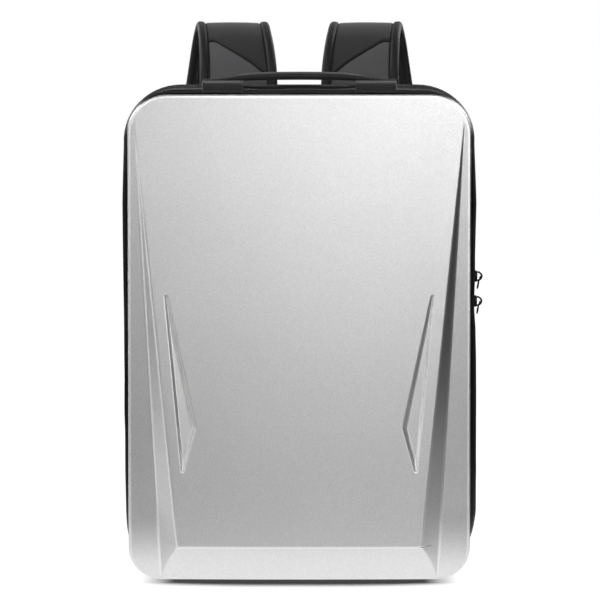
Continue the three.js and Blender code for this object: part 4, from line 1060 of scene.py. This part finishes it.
settle_piece(strip("zip_tape_cloth", TAPE, above, ZIP_END, zip_tape_finish), "zip_black", "zip_tape")
settle_piece(strip("hinge_cloth", HINGE, below, ZIP_END + 2 * MM, nylon), "body_nylon", "zip_hinge")

# %% Zip teeth
TOOTH = {"pitch": 1.9 * MM, "half": 2.9 * MM, "thick": 1.35 * MM, "high": 1.3 * MM}
TOOTH_SHAPE = ((-1, 0), (-0.7, 0.75), (-0.2, 1.0), (0.2, 1.0), (0.7, 0.75), (1, 0))  # across, and up


def bars_along(path, outwards, pitch, half, thick, high):
    """A chain of rounded bars across a path, as points and faces."""
    way = way_along(path)
    count = int(way[-1] / pitch)
    at = (np.arange(count) + 0.5) * way[-1] / count
    ahead = sample(path, way, at + A_BIT) - sample(path, way, at - A_BIT)
    ahead /= np.linalg.norm(ahead, axis=1)[:, None]
    points, faces = [], []
    for place, up, forward in zip(sample(path, way, at), sample(outwards, way, at), ahead):
        faces += bar_faces(len(points), len(TOOTH_SHAPE), 4)
        for reach, rise in TOOTH_SHAPE:
            spine = place + np.array(BACKWARDS) * reach * half + up * rise * high
            narrow = thick / 2 * (0.55 if abs(reach) == 1 else 1)
            points += [spine - forward * narrow, spine + up * narrow * 0.5]
            points += [spine + forward * narrow, spine - up * narrow * 1.5]
    return points, faces


teeth_line = above(on_body(TEETH_MIDDLE, 0.1 * MM), ZIP_END)
teeth_out = above(on_body(TEETH_MIDDLE, 1.1 * MM), ZIP_END) - teeth_line
teeth_out /= np.linalg.norm(teeth_out, axis=1)[:, None]
teeth = mesh_piece("zip_teeth", *bars_along(teeth_line, teeth_out, **TOOTH))
zip_plastic, *_ = worn(
    "zip_teeth_plastic", 260.0, 3.0, 0.2, 0.3, 0.3, 0.0001, Roughness=0.35, Base_Color=(0.012, 0.012, 0.013, 1)
)
teeth.data.materials.append(zip_plastic)
settle_piece(teeth, "zip_black", "zip_coil")
print("zip teeth faces:", len(teeth.data.polygons))

# %% [markdown]
# ## Handle and its patches
#
# The handle is a padded strip whose flat ends are sewn under two patches on the gusset. The patches run
# from the shell's rim over the top of the bag. Both are sections swept along a line, with the hems and
# stitches on top.

# %% Ribbon helper
def round_corners(points):
    """Cuts the corners of a line, which rounds them."""
    line = np.asarray(points, float)
    near, far = blend(line[:-1], line[1:], 0.25), blend(line[:-1], line[1:], 0.75)
    return np.concatenate([line[:1], np.stack([near, far], 1).reshape(-1, line.shape[1]), line[-1:]])


def ribbon(name, path, width, thick, middle_x, finish, steps=9):
    """A band across X that follows a line in Y and Z, with rounded selvedges."""
    ahead = directions(np.asarray(path, float))
    normal = np.stack([-ahead[:, 1], ahead[:, 0]], 1)
    half, high = width / 2, thick / 2
    across = np.linspace(-half + high, half - high, steps)
    side_turns = np.radians([-60, -30, 0, 30, 60])
    section = [(x, high) for x in across]
    section += [(half - high + high * math.cos(a), high * math.sin(a)) for a in side_turns[::-1]]
    section += [(x, -high) for x in across[::-1]]
    section += [(-half + high - high * math.cos(a), high * math.sin(a)) for a in side_turns]
    rings = []
    for (y, z), (ny, nz) in zip(path, normal):
        rings.append([(middle_x + x, y + ny * lift, z + nz * lift) for x, lift in section])
    return skin(name, rings, ends=True, finishes=[finish])


def top_at(depth, lift=0.0):
    """A point of the body's top line, in Y and Z, at a depth behind the rim."""
    return np.array([RIM + depth, body_shape(depth, lift)[2]])


# %% Handle patches
HANDLE_OUT = 92 * MM
PATCH_WIDTH = 39 * MM
PATCH_HEM = 2.2 * MM
PATCH_OVER = 1.2 * MM  # its middle lies this far over the cloth at the rim
PATCH_RAISED = 2.9 * MM  # and rises by this over the handle's sewn end
patch_depths = np.concatenate([np.linspace(1.6, 10, 9), np.linspace(13, 52, 12)]) * MM
for side, word in ((-1, "left"), (1, "right")):
    middle_x = side * (HANDLE_OUT - PATCH_WIDTH / 2)
    line = [top_at(d, PATCH_OVER) + (0, PATCH_RAISED * min(1, d / (8 * MM))) for d in patch_depths]
    line = [line[0] - (0, 2.5 * MM), *line]
    patch = ribbon("patch_" + word, line, PATCH_WIDTH, 1.8 * MM, middle_x, patch_cloth, steps=15)
    settle_piece(patch, "body_nylon", "handle_patch_" + word)
    rows = []
    for x in (middle_x - PATCH_WIDTH / 2 + PATCH_HEM, middle_x + PATCH_WIDTH / 2 - PATCH_HEM):
        path = [(x, *top_at(d, 5.0 * MM)) for d in np.linspace(9, 50, 30) * MM]
        rows.append((path, UPWARDS, *STITCH))
    sew("patch_stitches_" + word, "body_nylon", rows)

# %% Top handle
HANDLE_BEHIND = 34 * MM  # from the rim to the handle's middle
HANDLE_Y = RIM + HANDLE_BEHIND
HANDLE_SEAT, HANDLE_CREST = 4.6 * MM, 9.2 * MM  # its middle over the cloth
HANDLE_HALF = (14 * MM, 12 * MM)  # half the width of its flat ends and of its round grip
HANDLE_THICK = (1.3 * MM, 3.9 * MM)
HANDLE_SQUARE = (0.3, 0.72)  # how square the section is: 0 is a box, 1 an oval
HANDLE_ROWS = table(  # place along half the length, rise from the end to the grip, and how round the section is
    "place rise round",
    (0.0, 1.0, 1.0),
    (0.25, 0.97, 1.0),
    (0.45, 0.84, 0.95),
    (0.6, 0.62, 0.7),
    (0.72, 0.32, 0.3),
    (0.82, 0.06, 0.05),
    (0.88, 0.0, 0.0),
    (1.0, 0.0, 0.0),
)


def handle_at(place, key):
    """A column of the handle's table at a place from -1 to 1, eased between the rows."""
    return eased(HANDLE_ROWS, key, np.abs(place + np.linspace(-0.06, 0.06, 7)))


def handle_middle(place):
    return top_at(HANDLE_BEHIND)[1] + blend(HANDLE_SEAT, HANDLE_CREST, handle_at(place, "rise"))


def squared(value, power):
    """A sine or cosine, bent so that the circle which it makes becomes squarer."""
    return np.sign(value) * np.abs(value) ** power


handle_rings = []
for place in np.linspace(-1, 1, 97):
    firm = handle_at(place, "round")
    half, thick, power = (blend(*pair, firm) for pair in (HANDLE_HALF, HANDLE_THICK, HANDLE_SQUARE))
    ring = []
    for angle in np.linspace(0, 2 * np.pi, 40, endpoint=False):
        c, s = math.cos(angle), math.sin(angle)
        y = HANDLE_Y + half * squared(c, power)
        z = handle_middle(place) + thick * squared(s, power)
        hem = 0.5 * MM * math.exp(-(((abs(y - HANDLE_Y) - half * 0.8) / (0.9 * MM)) ** 2))
        ring.append((place * HANDLE_OUT, y, z - math.copysign(hem, s) * min(1, abs(s) * 2)))
    handle_rings.append(ring)
handle = skin("handle_grip", handle_rings, ends=True, finishes=[webbing_finish])
settle_piece(handle, "webbing_black", "top_handle")
rows = []
for side in (-1, 1):
    for y in (HANDLE_Y - 11.2 * MM, HANDLE_Y + 11.2 * MM):
        path = []
        for p in np.linspace(0.62, 0.985, 24):
            over = blend(1.3, 3.5, handle_at(p, "round")) * MM
            path.append((side * p * HANDLE_OUT, y, handle_middle(p) + over))
        rows.append((path, UPWARDS, *STITCH))
    for p in (0.8, 0.975):
        ys = HANDLE_Y + np.linspace(-11, 11, 12) * MM
        path = [(side * p * HANDLE_OUT, y, handle_middle(p) + 1.35 * MM) for y in ys]
        rows.append((path, UPWARDS, *SHORT_STITCH))
sew("handle_stitches", "webbing_black", rows)

# %% [markdown]
# ## Shoulder straps
#
# Each strap is foam between a smooth cloth face and an open mesh back, with a rolled binding along both
# edges. It rises from the back of the bag, turns over behind it and comes down, narrowing, to the adjuster.
# The strap's line is a smooth curve through a few named places, and its section is swept along it. A curved
# seam crosses the face: it is pressed into the mesh itself, because only a real groove catches the light on
# one side. The groove also gets painted shade in the cloth's tone.

# %% The strap's line
STRAP_ROWS = table(  # shares of the way across, back and up, and the stage of the width
    "across back up width",
    (0, 0, 0.6, 0),
    (0, 0.012, 0.76, 0),
    (0.01, 0.05, 0.87, 0.3),
    (0.07, 0.26, 0.965, 0.8),
    (0.135, 0.55, 1, 1),
    (0.225, 0.83, 0.95, 1),
    (0.35, 0.98, 0.82, 1),
    (0.54, 1, 0.62, 1.1),
    (0.76, 0.89, 0.39, 1.3),
    (0.94, 0.71, 0.18, 1.6),
    (1, 0.56, 0.07, 1.8),
    (1, 0.47, 0, 2),
)
STRAP_BASE_OUT, STRAP_END_OUT = 59.2 * MM, 112 * MM
STRAP_SEAT = 81.6 * MM
STRAP_REACH = 82 * MM
STRAP_END_UP, STRAP_CREST_UP = 215 * MM, 522.6 * MM
STRAP_THICK = 12 * MM
STRAP_WIDTHS = (77 * MM, 70.5 * MM, 56 * MM)  # at stages 0, 1 and 2

strap_out = blend(STRAP_BASE_OUT, STRAP_END_OUT, STRAP_ROWS["across"])
strap_back = STRAP_SEAT + STRAP_ROWS["back"] * STRAP_REACH
strap_up = blend(STRAP_END_UP, STRAP_CREST_UP, STRAP_ROWS["up"])
strap_places = np.stack([strap_out, strap_back, strap_up], 1)


def smooth_line(places, shares):
    """Points of a smooth curve through the places, which keeps its bends even where places are uneven."""
    ends = np.concatenate([[2 * places[0] - places[1]], places, [2 * places[-1] - places[-2]]])
    result = []
    for share in shares:
        at = share * (len(places) - 1)
        k = min(int(at), len(places) - 2)
        t = at - k
        p0, p1, p2, p3 = ends[k : k + 4]
        d0, d1, d2 = (max(np.linalg.norm(b - a) ** 0.5, 1e-4) for a, b in ((p0, p1), (p1, p2), (p2, p3)))
        out1 = ((p1 - p0) / d0 - (p2 - p0) / (d0 + d1) + (p2 - p1) / d1) * d1
        out2 = ((p2 - p1) / d1 - (p3 - p1) / (d1 + d2) + (p3 - p2) / d2) * d1
        c2, c3 = -3 * p1 + 3 * p2 - 2 * out1 - out2, 2 * p1 - 2 * p2 + out1 + out2
        result.append(p1 + out1 * t + c2 * t**2 + c3 * t**3)
    return np.array(result)


def strap_half_width(share):
    stages = STRAP_ROWS["width"]
    stage = np.interp(share * (len(stages) - 1), range(len(stages)), stages)
    return float(np.interp(stage, (0, 1, 2), STRAP_WIDTHS)) / 2


# %% Strap section and seam
PANEL = 0.715  # the face's smooth panel ends at this share of half the width
EDGE_PLACES = [1.0, 0.99, 0.965, 0.925, 0.875, 0.825, 0.785, 0.76, 0.748, 0.73]
FACE_PLACES = EDGE_PLACES + list(np.linspace(PANEL, -PANEL, 69)) + [-a for a in reversed(EDGE_PLACES)]
BACK_EDGE = [0.78, 0.82, 0.87, 0.92, 0.96, 0.99]
BACK_PLACES = [-a for a in reversed(BACK_EDGE)] + list(np.linspace(-0.74, 0.74, 15)) + BACK_EDGE
SEAM_TOP = 508.1 * MM
SEAM_DROP = [(0, 0), (0.1, 0.4), (0.18, 2.5), (0.275, 6.0), (0.497, 13.9), (0.743, 22.8), (1.0, 33.7)]
SEAM_HALF = 0.85 * MM
STRAP_TURNED = 0.3  # the seam is on the strap's first part, before this share of its length
strap_shares = [np.linspace(0, 0.1, 20)[:-1], np.linspace(0.1, 0.27, 130)[:-1], np.linspace(0.27, 1, 130)]
strap_shares = np.concatenate(strap_shares)


def hump(away, half):
    """1 in the middle, falling off softly on both sides."""
    return math.exp(-((away / half) ** 2))


def strap_face(a):
    """Height of the strap's outer face at a place across it, from -1 to 1, as a share of half its thickness."""
    a = abs(a)
    if a <= PANEL:
        return 0.72 + 0.16 * (1 - (a / PANEL) ** 2)
    if a < 0.75:
        return 0.6
    return 0.22 + 0.72 * max(0.0, 1 - abs((a - 0.875) / 0.125) ** 3) ** 0.5


def over_seam(a, up):
    """Distance over the seam's line at a place across the strap's face and a height."""
    share = np.clip((PANEL - a) / (2 * PANEL), 0, 1)
    return 0.86 * (up - SEAM_TOP + np.interp(share, *zip(*SEAM_DROP)) * MM)


def seam_press(a, up):
    """How far the seam presses the strap's face in, at a place across it and a height."""
    away = over_seam(a, up)
    press = 1.3 * MM * hump(away, SEAM_HALF) - 0.45 * MM * hump(away - 2.0 * MM, 0.9 * MM)
    return press if abs(a) < 0.74 else 0.0


def seam_shade(a, up):
    """Painted shade of the face beside the seam: 0 in its groove, 0.5 above it and 1 below it, where the face
    is lighter.
    """
    away = over_seam(a, up)
    side = np.clip(0.5 - away / (1.2 * MM), 0, 1) * 0.5 + 0.5
    # painted shade in the groove, and a faint painted dark line just below it
    lines = 1.4 * hump(away, SEAM_HALF) + 0.35 * hump(away - 2.3 * MM, 0.5 * MM)
    return side * (1 - min(1.0, lines))


def strap_mesh(side, word):
    line = smooth_line(strap_places, strap_shares)
    rings, shades = [], []
    for share, middle, forward in zip(strap_shares, line, directions(line, strap_shares)):
        across = np.array([1.0, 0, 0]) - forward * forward[0]
        across /= np.linalg.norm(across)
        up = np.cross(across, forward)
        half, high = strap_half_width(share), STRAP_THICK / 2
        ring = []
        for a in FACE_PLACES:
            lift = strap_face(a) * high
            shades.append(0.5 if share > STRAP_TURNED else seam_shade(a, middle[2]))
            if share < STRAP_TURNED:
                lift -= seam_press(a, middle[2])
            ring.append(middle + across * a * half + up * lift)
        for a in BACK_PLACES:  # the mesh at the back lies in small waves across the strap
            soft = 0.9 + 0.08 * math.cos(share * 260) if abs(a) < 0.75 else strap_face(a) * 0.9
            shades.append(0.5)
            ring.append(middle + across * a * half - up * high * soft)
        rings.append(ring)
    rings = np.array(rings) * (side, 1, 1)
    piece = skin("strap_" + word, rings, ends=True, finishes=[strap_cloth, binding_cloth, pad_mesh])
    places = np.array(FACE_PLACES + BACK_PLACES)
    middle = (places + np.roll(places, -1)) / 2
    kind = np.where(np.arange(len(places)) < len(FACE_PLACES), 0, 2)
    kind = np.where(np.abs(middle) > 0.73, 1, kind)
    piece.data.polygons.foreach_set("material_index", np.tile(kind, len(rings) - 1).tolist() + [1, 1])
    piece.data.attributes.new("seam_shade", "FLOAT", "POINT").data.foreach_set("value", shades)
    return piece


for side, word in ((-1, "left"), (1, "right")):
    strap = settle_piece(strap_mesh(side, word), "strap_fabric", "shoulder_strap_" + word)
print("strap faces:", len(strap.data.polygons))

# %% [markdown]
# The adjuster ties the strap to the foot of the bag. A short loop holds the buckle's top bar. The webbing
# starts at a tab in the back seam, runs up behind the buckle, turns over its middle bar and hangs down as a
# free tail. The buckle itself is moulded plastic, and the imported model's own shape is right, so it only
# gets a finish.

# %% Adjusters
strap_end = strap_places[-1]
webbing_foot = np.array([66.8, 72.4]) * MM
tilt = -math.atan2(strap_end[1] - webbing_foot[0], strap_end[2] - webbing_foot[1])


def at_adjuster(away, up):
    """A point in Y and Z from its distance off the webbing's line and its height over the strap's end, mm."""
    y = strap_end[1] + (away * math.cos(tilt) - up * math.sin(tilt)) * MM
    z = strap_end[2] + (away * math.sin(tilt) + up * math.cos(tilt)) * MM
    return (y, z)


BAND, BAND_THICK = 24 * MM, 1.5 * MM
OFF = 3.1  # from a bar's middle to the middle of a band that passes it
loop_front = [(OFF * 0.45, 3.5), (OFF * 0.6, -4.6), (OFF, -14), (OFF, -18.6), (OFF - 0.5, -19.1)]
loop_path = [at_adjuster(*p) for p in loop_front + [(-away, up) for away, up in reversed(loop_front)]]
WEBBING_UP = [(-5.3, -77), (-5.3, -28), (-4.8, -25.4), (-OFF, -24.9)]  # behind the buckle, up to its top bar
WEBBING_OVER = [(OFF - 0.5, -24.9), (OFF, -25.4), (OFF, -31), (0, -34), (-OFF, -37.4), (-OFF, -43.6)]
WEBBING_TAIL = [(-OFF + 3, -56), (-OFF + 12, -112)]
foot_y, foot_z = webbing_foot
webbing_path = [(foot_y, 35.6 * MM), (foot_y, foot_z - 6.4 * MM), (foot_y + 1.6 * MM, foot_z)]
webbing_path += [at_adjuster(*p) for p in WEBBING_UP + WEBBING_OVER + WEBBING_TAIL]
ANCHOR_ROWS = (  # height, half width, and the tab's two faces in Y, in mm
    (34, 18, 63.4, 64.6), (36, 17.7, 63.3, 65.7), (54, 15.6, 63.3, 65.7),
    (72, 13.8, 63.3, 65.7), (74, 13.5, 63.4, 64.6),
)
ANCHOR_SECTION = ((-1, 0), (-1, 1), (-0.5, 1), (0, 1), (0.5, 1), (1, 1), (1, 0), (0, 0))  # across, which face
ANCHOR_STITCHES = ((40, 65.8), (46, 65.8), (66, 66.0), (71, 66.0))  # height, and the row's place in Y, in mm
plastic, *_ = worn(
    "moulded_plastic", 900.0, 2.0, 0.3, 0.25, 0.35, 0.00015, Roughness=0.42, Base_Color=(0.012, 0.012, 0.012, 1)
)

for side, word in ((-1, "left"), (1, "right")):
    x = side * STRAP_END_OUT
    loop = ribbon("buckle_tie_" + word, round_corners(loop_path), BAND, BAND_THICK, x, webbing_finish)
    settle_piece(loop, "webbing_black", "buckle_loop_" + word)
    band = ribbon("adjuster_band_" + word, round_corners(webbing_path), BAND, BAND_THICK, x, webbing_finish)
    settle_piece(band, "webbing_black", "strap_webbing_" + word)
    bpy.data.objects["ladder_buckle_" + word].material_slots[0].material = plastic
    rings = [
        [(x + a * half * MM, faces[face] * MM, z * MM) for a, face in ANCHOR_SECTION]
        for z, half, *faces in ANCHOR_ROWS
    ]
    anchor = skin("anchor_tab_" + word, rings, ends=True, finishes=[nylon])
    settle_piece(anchor, "body_nylon", "lower_anchor_" + word)
    rows = []
    for z, y in ANCHOR_STITCHES:
        path = [(x + a * 11 * MM, y * MM, z * MM) for a in np.linspace(-1, 1, 10)]
        rows.append((path, BACKWARDS, *SHORT_STITCH))
    sew("anchor_stitches_" + word, "body_nylon", rows)

# %% [markdown]
# ## Padded back
#
# The back pad is soft foam under air mesh. A cloth simulation inflates a thin slab a little, which gives the
# full, slightly uneven form of upholstery. Sewn channels are pressed in afterwards, because the simulation
# would pull them flat again. The side that lies on the bag stays flat.

# %% Back pad
PAD_BACK = 75.3 * MM
PAD_LOW, PAD_HIGH, PAD_HALF = 96 * MM, 428 * MM, 134 * MM
BACK_WALL = RIM + BODY_DEPTH


def pad_outline(inset, count=7):
    """Points round the pad's outline, in X and Z."""
    half, low, high = PAD_HALF - inset, PAD_LOW + inset, PAD_HIGH - inset
    foot, top = 50 * MM - inset, 34 * MM - inset
    corners = [
        (half - foot, low + foot, -90, foot), (half - top, high - top, 0, top),
        (top - half, high - top, 90, top), (foot - half, low + foot, 180, foot),
    ]
    return [
        (cx + r * math.cos(a), cz + r * math.sin(a))
        for cx, cz, start, r in corners
        for a in np.radians(start + np.linspace(0, 90, count))
    ]


def as_mesh(piece):
    """The piece with its modifiers applied, as a new mesh."""
    bpy.context.view_layer.update()
    return bpy.data.meshes.new_from_object(piece.evaluated_get(bpy.context.evaluated_depsgraph_get()))


def inflate(piece, voxel, pressure, cap):
    """Remeshes a closed piece, swells it as cloth, and keeps each point within a cap of where it was."""
    remesh = piece.modifiers.new("remesh", "REMESH")
    remesh.mode = "VOXEL"
    remesh.voxel_size = voxel
    piece.data = as_mesh(piece)
    piece.modifiers.clear()
    before = points_of(piece)
    cloth = piece.modifiers.new("swell", "CLOTH")
    cloth.settings.use_pressure = True
    cloth.settings.uniform_pressure_force = pressure
    cloth.settings.effector_weights.gravity = 0
    cloth.point_cache.frame_start, cloth.point_cache.frame_end = 1, 20
    for frame_number in range(1, 21):
        bpy.context.scene.frame_set(frame_number)
    after = np.array([v.co[:] for v in as_mesh(piece).vertices])
    piece.modifiers.clear()
    bpy.context.scene.frame_set(1)
    move = after - before
    size = np.linalg.norm(move, axis=1)
    move *= (np.minimum(size, cap) / np.maximum(size, 1e-9))[:, None]
    piece.data.vertices.foreach_set("co", (before + move).ravel())
    print(piece.name, "swelled by up to", round(float(size.max()) / MM, 1), "mm")


pad_rings = []
for inset, y in ((3.5, 0.6), (1.5, 1.4), (1.2, 4.0), (1.6, 7.2), (4.5, 9.2)):
    pad_rings.append([(x, BACK_WALL + y * MM, z) for x, z in pad_outline(inset * MM)])
pad = skin("back_cushion", pad_rings, ends=True, finishes=[pad_mesh])
inflate(pad, 4.5 * MM, 4, 5 * MM)
divide = pad.modifiers.new("fine", "SUBSURF")
divide.levels = divide.render_levels = 1
pad.data = as_mesh(pad)
pad.modifiers.clear()

PAD_SEAMS = [((side * 22, 108), (side * 22, 418)) for side in (-1, 1)]  # sewn channels: start and end, in mm
PAD_SEAMS += [((side * 22, z), (side * 134, z + 32)) for side in (-1, 1) for z in (190, 268, 346)]


def press_channels(piece, depth, half_width):
    """Pushes the pad's back face in along its seams."""
    places = points_of(piece)
    nearest = np.full(len(places), 1.0)
    for seam in PAD_SEAMS:
        start, end = np.array(seam) * MM
        along = np.clip(((places[:, [0, 2]] - start) @ (end - start)) / np.sum((end - start) ** 2), 0, 1)
        away = places[:, [0, 2]] - start - along[:, None] * (end - start)
        nearest = np.minimum(nearest, np.linalg.norm(away, axis=1))
    push = depth * np.exp(-((nearest / half_width) ** 2))
    outer = np.clip((places[:, 1] - BACK_WALL - 5 * MM) / (4 * MM), 0, 1)
    places[:, 1] = np.clip(places[:, 1] - push * outer, BACK_WALL + 0.3 * MM, PAD_BACK + 2.5 * MM)
    piece.data.vertices.foreach_set("co", places.ravel())
    piece.data.shade_smooth()

press_channels(pad, 5 * MM, 4.5 * MM)
pad.data.materials.clear()
pad.data.materials.append(pad_mesh)
settle_piece(pad, "strap_fabric", "back_pad")
print("back pad faces:", len(pad.data.polygons))

# %% [markdown]
# A cover of body cloth hides the sewn ends of the straps. It lies on the pad, rises over each strap end and
# sags between them. As a height over the pad's back it is quick to shape: the wider hump wins everywhere.

# %% Strap cover
COVER_LOW, COVER_HIGH, COVER_HALF = 378.6 * MM, 428.6 * MM, 109 * MM
COVER_FLAT, COVER_RISE = 1.2 * MM, 14.6 * MM  # how far it lies off the pad, and what the straps under it add
COVER_HEM = 3 * MM


def cover_lift(x, z):
    """How far the cover stands behind the pad."""
    from_strap = max(0.0, abs(abs(x) - STRAP_BASE_OUT) - 38 * MM)
    over = 1 / (1 + (from_strap / (7 * MM)) ** 3)
    rise = min(1.0, max(0.0, (z - COVER_LOW) / (20 * MM)))
    rise = rise * rise * (3 - 2 * rise)
    edge = min(1.0, (COVER_HALF - abs(x)) / (9 * MM))
    return COVER_FLAT + COVER_RISE * rise * over * math.sqrt(max(0.0, edge))


cover_rows = []
for z in np.linspace(COVER_LOW, COVER_HIGH, 26):
    row = []
    for x in np.linspace(-COVER_HALF, COVER_HALF, 90):
        pucker = 0.25 * MM * noise.noise(Vector((x * 90, z * 60, 4.0)))
        row.append((x, PAD_BACK + cover_lift(x, z) + pucker, z))
    cover_rows.append(row)
cover = skin("strap_cover", cover_rows, round_ring=False, finishes=[nylon])
thicken(cover, 1.4 * MM, offset=0)
settle_piece(cover, "body_nylon", "strap_yoke")
rows = []
for z in (COVER_LOW + COVER_HEM, COVER_HIGH - COVER_HEM):
    xs = np.linspace(-COVER_HALF + COVER_HEM, COVER_HALF - COVER_HEM, 80)
    path = [(x, PAD_BACK + cover_lift(x, z) + 0.75 * MM, z) for x in xs]
    rows.append((path, BACKWARDS, *STITCH))
sew("cover_stitches", "body_nylon", rows)

# %% [markdown]
# ## Sliders
#
# A slider is a small cast plate with a bail, the arched wire that the pull hangs from. The pull is a tab on
# a thin frame, and its cross bar lies in the bail at the joint's own axis, so that it swings without
# touching the wire. All of it has a dark plated finish. The plate and the tab are skins over rings, the
# wires are tubes.

# %% Slider metal
gunmetal, gun_tree, gun_surface, gun_wear = worn(
    "dark_plating", 420.0, 4.0, 0.15, 0.3, 0.2, 0.0001, Metallic=0.9, Roughness=0.3
)
gun_tree.links.new(ramp(gun_tree, gun_wear, (0.3, 0.02), (0.75, 0.06)), gun_surface.inputs["Base Color"])

# %% Sliders and pulls
SLIDERS = {  # the joint's axis: X and Z
    "upper": (174.80 * MM, 281 * MM),
    "lower": (174.53 * MM, 257 * MM),
}
ZIP_Y = 37 * MM
SEAT_IN = 5.5 * MM  # from the joint's axis to the slider's foot
PLATE_HALF = (4.4 * MM, 5.6 * MM)
PLATE_RISES = [(-0.4, 1.0), (1.5, 1.0), (2.1, 0.94), (2.5, 0.8)]  # height and share of the outline, in mm
BAIL_IN, BAIL_ROOT = 1.7 * MM, 0.8 * MM  # where its arch starts over the foot, and what stands in the plate
BAIL_REACH, BAIL_HALF, BAIL_WIRE = 5.2 * MM, 4.2 * MM, 0.9 * MM
TAB = [  # outwards and up from the axis, half width and half thickness, in mm
    (-1.62, -5.2, 2.9, 0.55), (-1.75, -5.8, 3.4, 0.85), (-2.2, -8.0, 3.5, 0.85),
    (-2.55, -10.0, 3.3, 0.85), (-2.85, -11.6, 2.6, 0.75), (-2.95, -12.3, 1.6, 0.4),
]
BOW_WIRE = 0.42 * MM
BOW = [(-1.7, -2.6, -5.6), (-0.9, -2.6, -2.8), (-0.15, -2.5, -0.5), (0, -1.5, 0)]  # one half, from the tab up
BOW += [(0, 0, 0)] + [(x, -y, z) for x, y, z in reversed(BOW)]
RING_TURNS = np.linspace(0, 2 * np.pi, 28, endpoint=False)
BAIL_TURNS = np.radians(np.linspace(-90, 90, 25))


def slider(word, axis_x, axis_z):
    """The cast plate and its bail."""
    seat = axis_x - SEAT_IN
    across, along = (half * squared(turn(RING_TURNS), 0.75) for half, turn in zip(PLATE_HALF, (np.cos, np.sin)))
    rings = [
        [(seat + rise * MM, ZIP_Y + share * a, axis_z + share * b) for a, b in zip(across, along)]
        for rise, share in PLATE_RISES
    ]
    plate = skin("plate", rings, ends=True, finishes=[gunmetal])
    start = seat + BAIL_IN
    arch = [(start + BAIL_REACH * math.cos(t), ZIP_Y, axis_z + BAIL_HALF * math.sin(t)) for t in BAIL_TURNS]
    roots = [(start - BAIL_ROOT, ZIP_Y, axis_z + end * BAIL_HALF) for end in (-1, 1)]
    wire = skin("wire", tube_rings([roots[0], *arch, roots[1]], BAIL_WIRE, 10), ends=True, finishes=[gunmetal])
    return join_pieces("slider_" + word, [plate, wire])


def pull(word, axis_x, axis_z):
    """The tab and the bow that it hangs from."""
    axis = (axis_x, ZIP_Y, axis_z)
    middle = np.array([(x, 0, z) for x, z, _, _ in TAB]) * MM + axis
    curve = squared(np.stack([np.cos(RING_TURNS), np.sin(RING_TURNS)]), 0.6)
    rings = []
    for place, forward, (_, _, half, thick) in zip(middle, directions(middle), TAB):
        out = np.array([-forward[2], 0, forward[0]])
        rings.append([place + out * thick * MM * b + np.array([0, half * MM * a, 0]) for a, b in curve.T])
    tab = skin("tab", rings, ends=True, finishes=[gunmetal])
    line = smooth_line(np.array(BOW) * MM + axis, np.linspace(0, 1, 49))
    bow = skin("bow", tube_rings(line, BOW_WIRE, 8), ends=True, finishes=[gunmetal])
    return join_pieces("pull_" + word, [tab, bow])


for word, axis in SLIDERS.items():
    settle_piece(slider(word, *axis), "slider_metal", "zip_slider_" + word)
    settle_piece(pull(word, *axis), "slider_metal", "zip_pull_" + word, body="pull_" + word)
print("sliders:", len(SLIDERS))
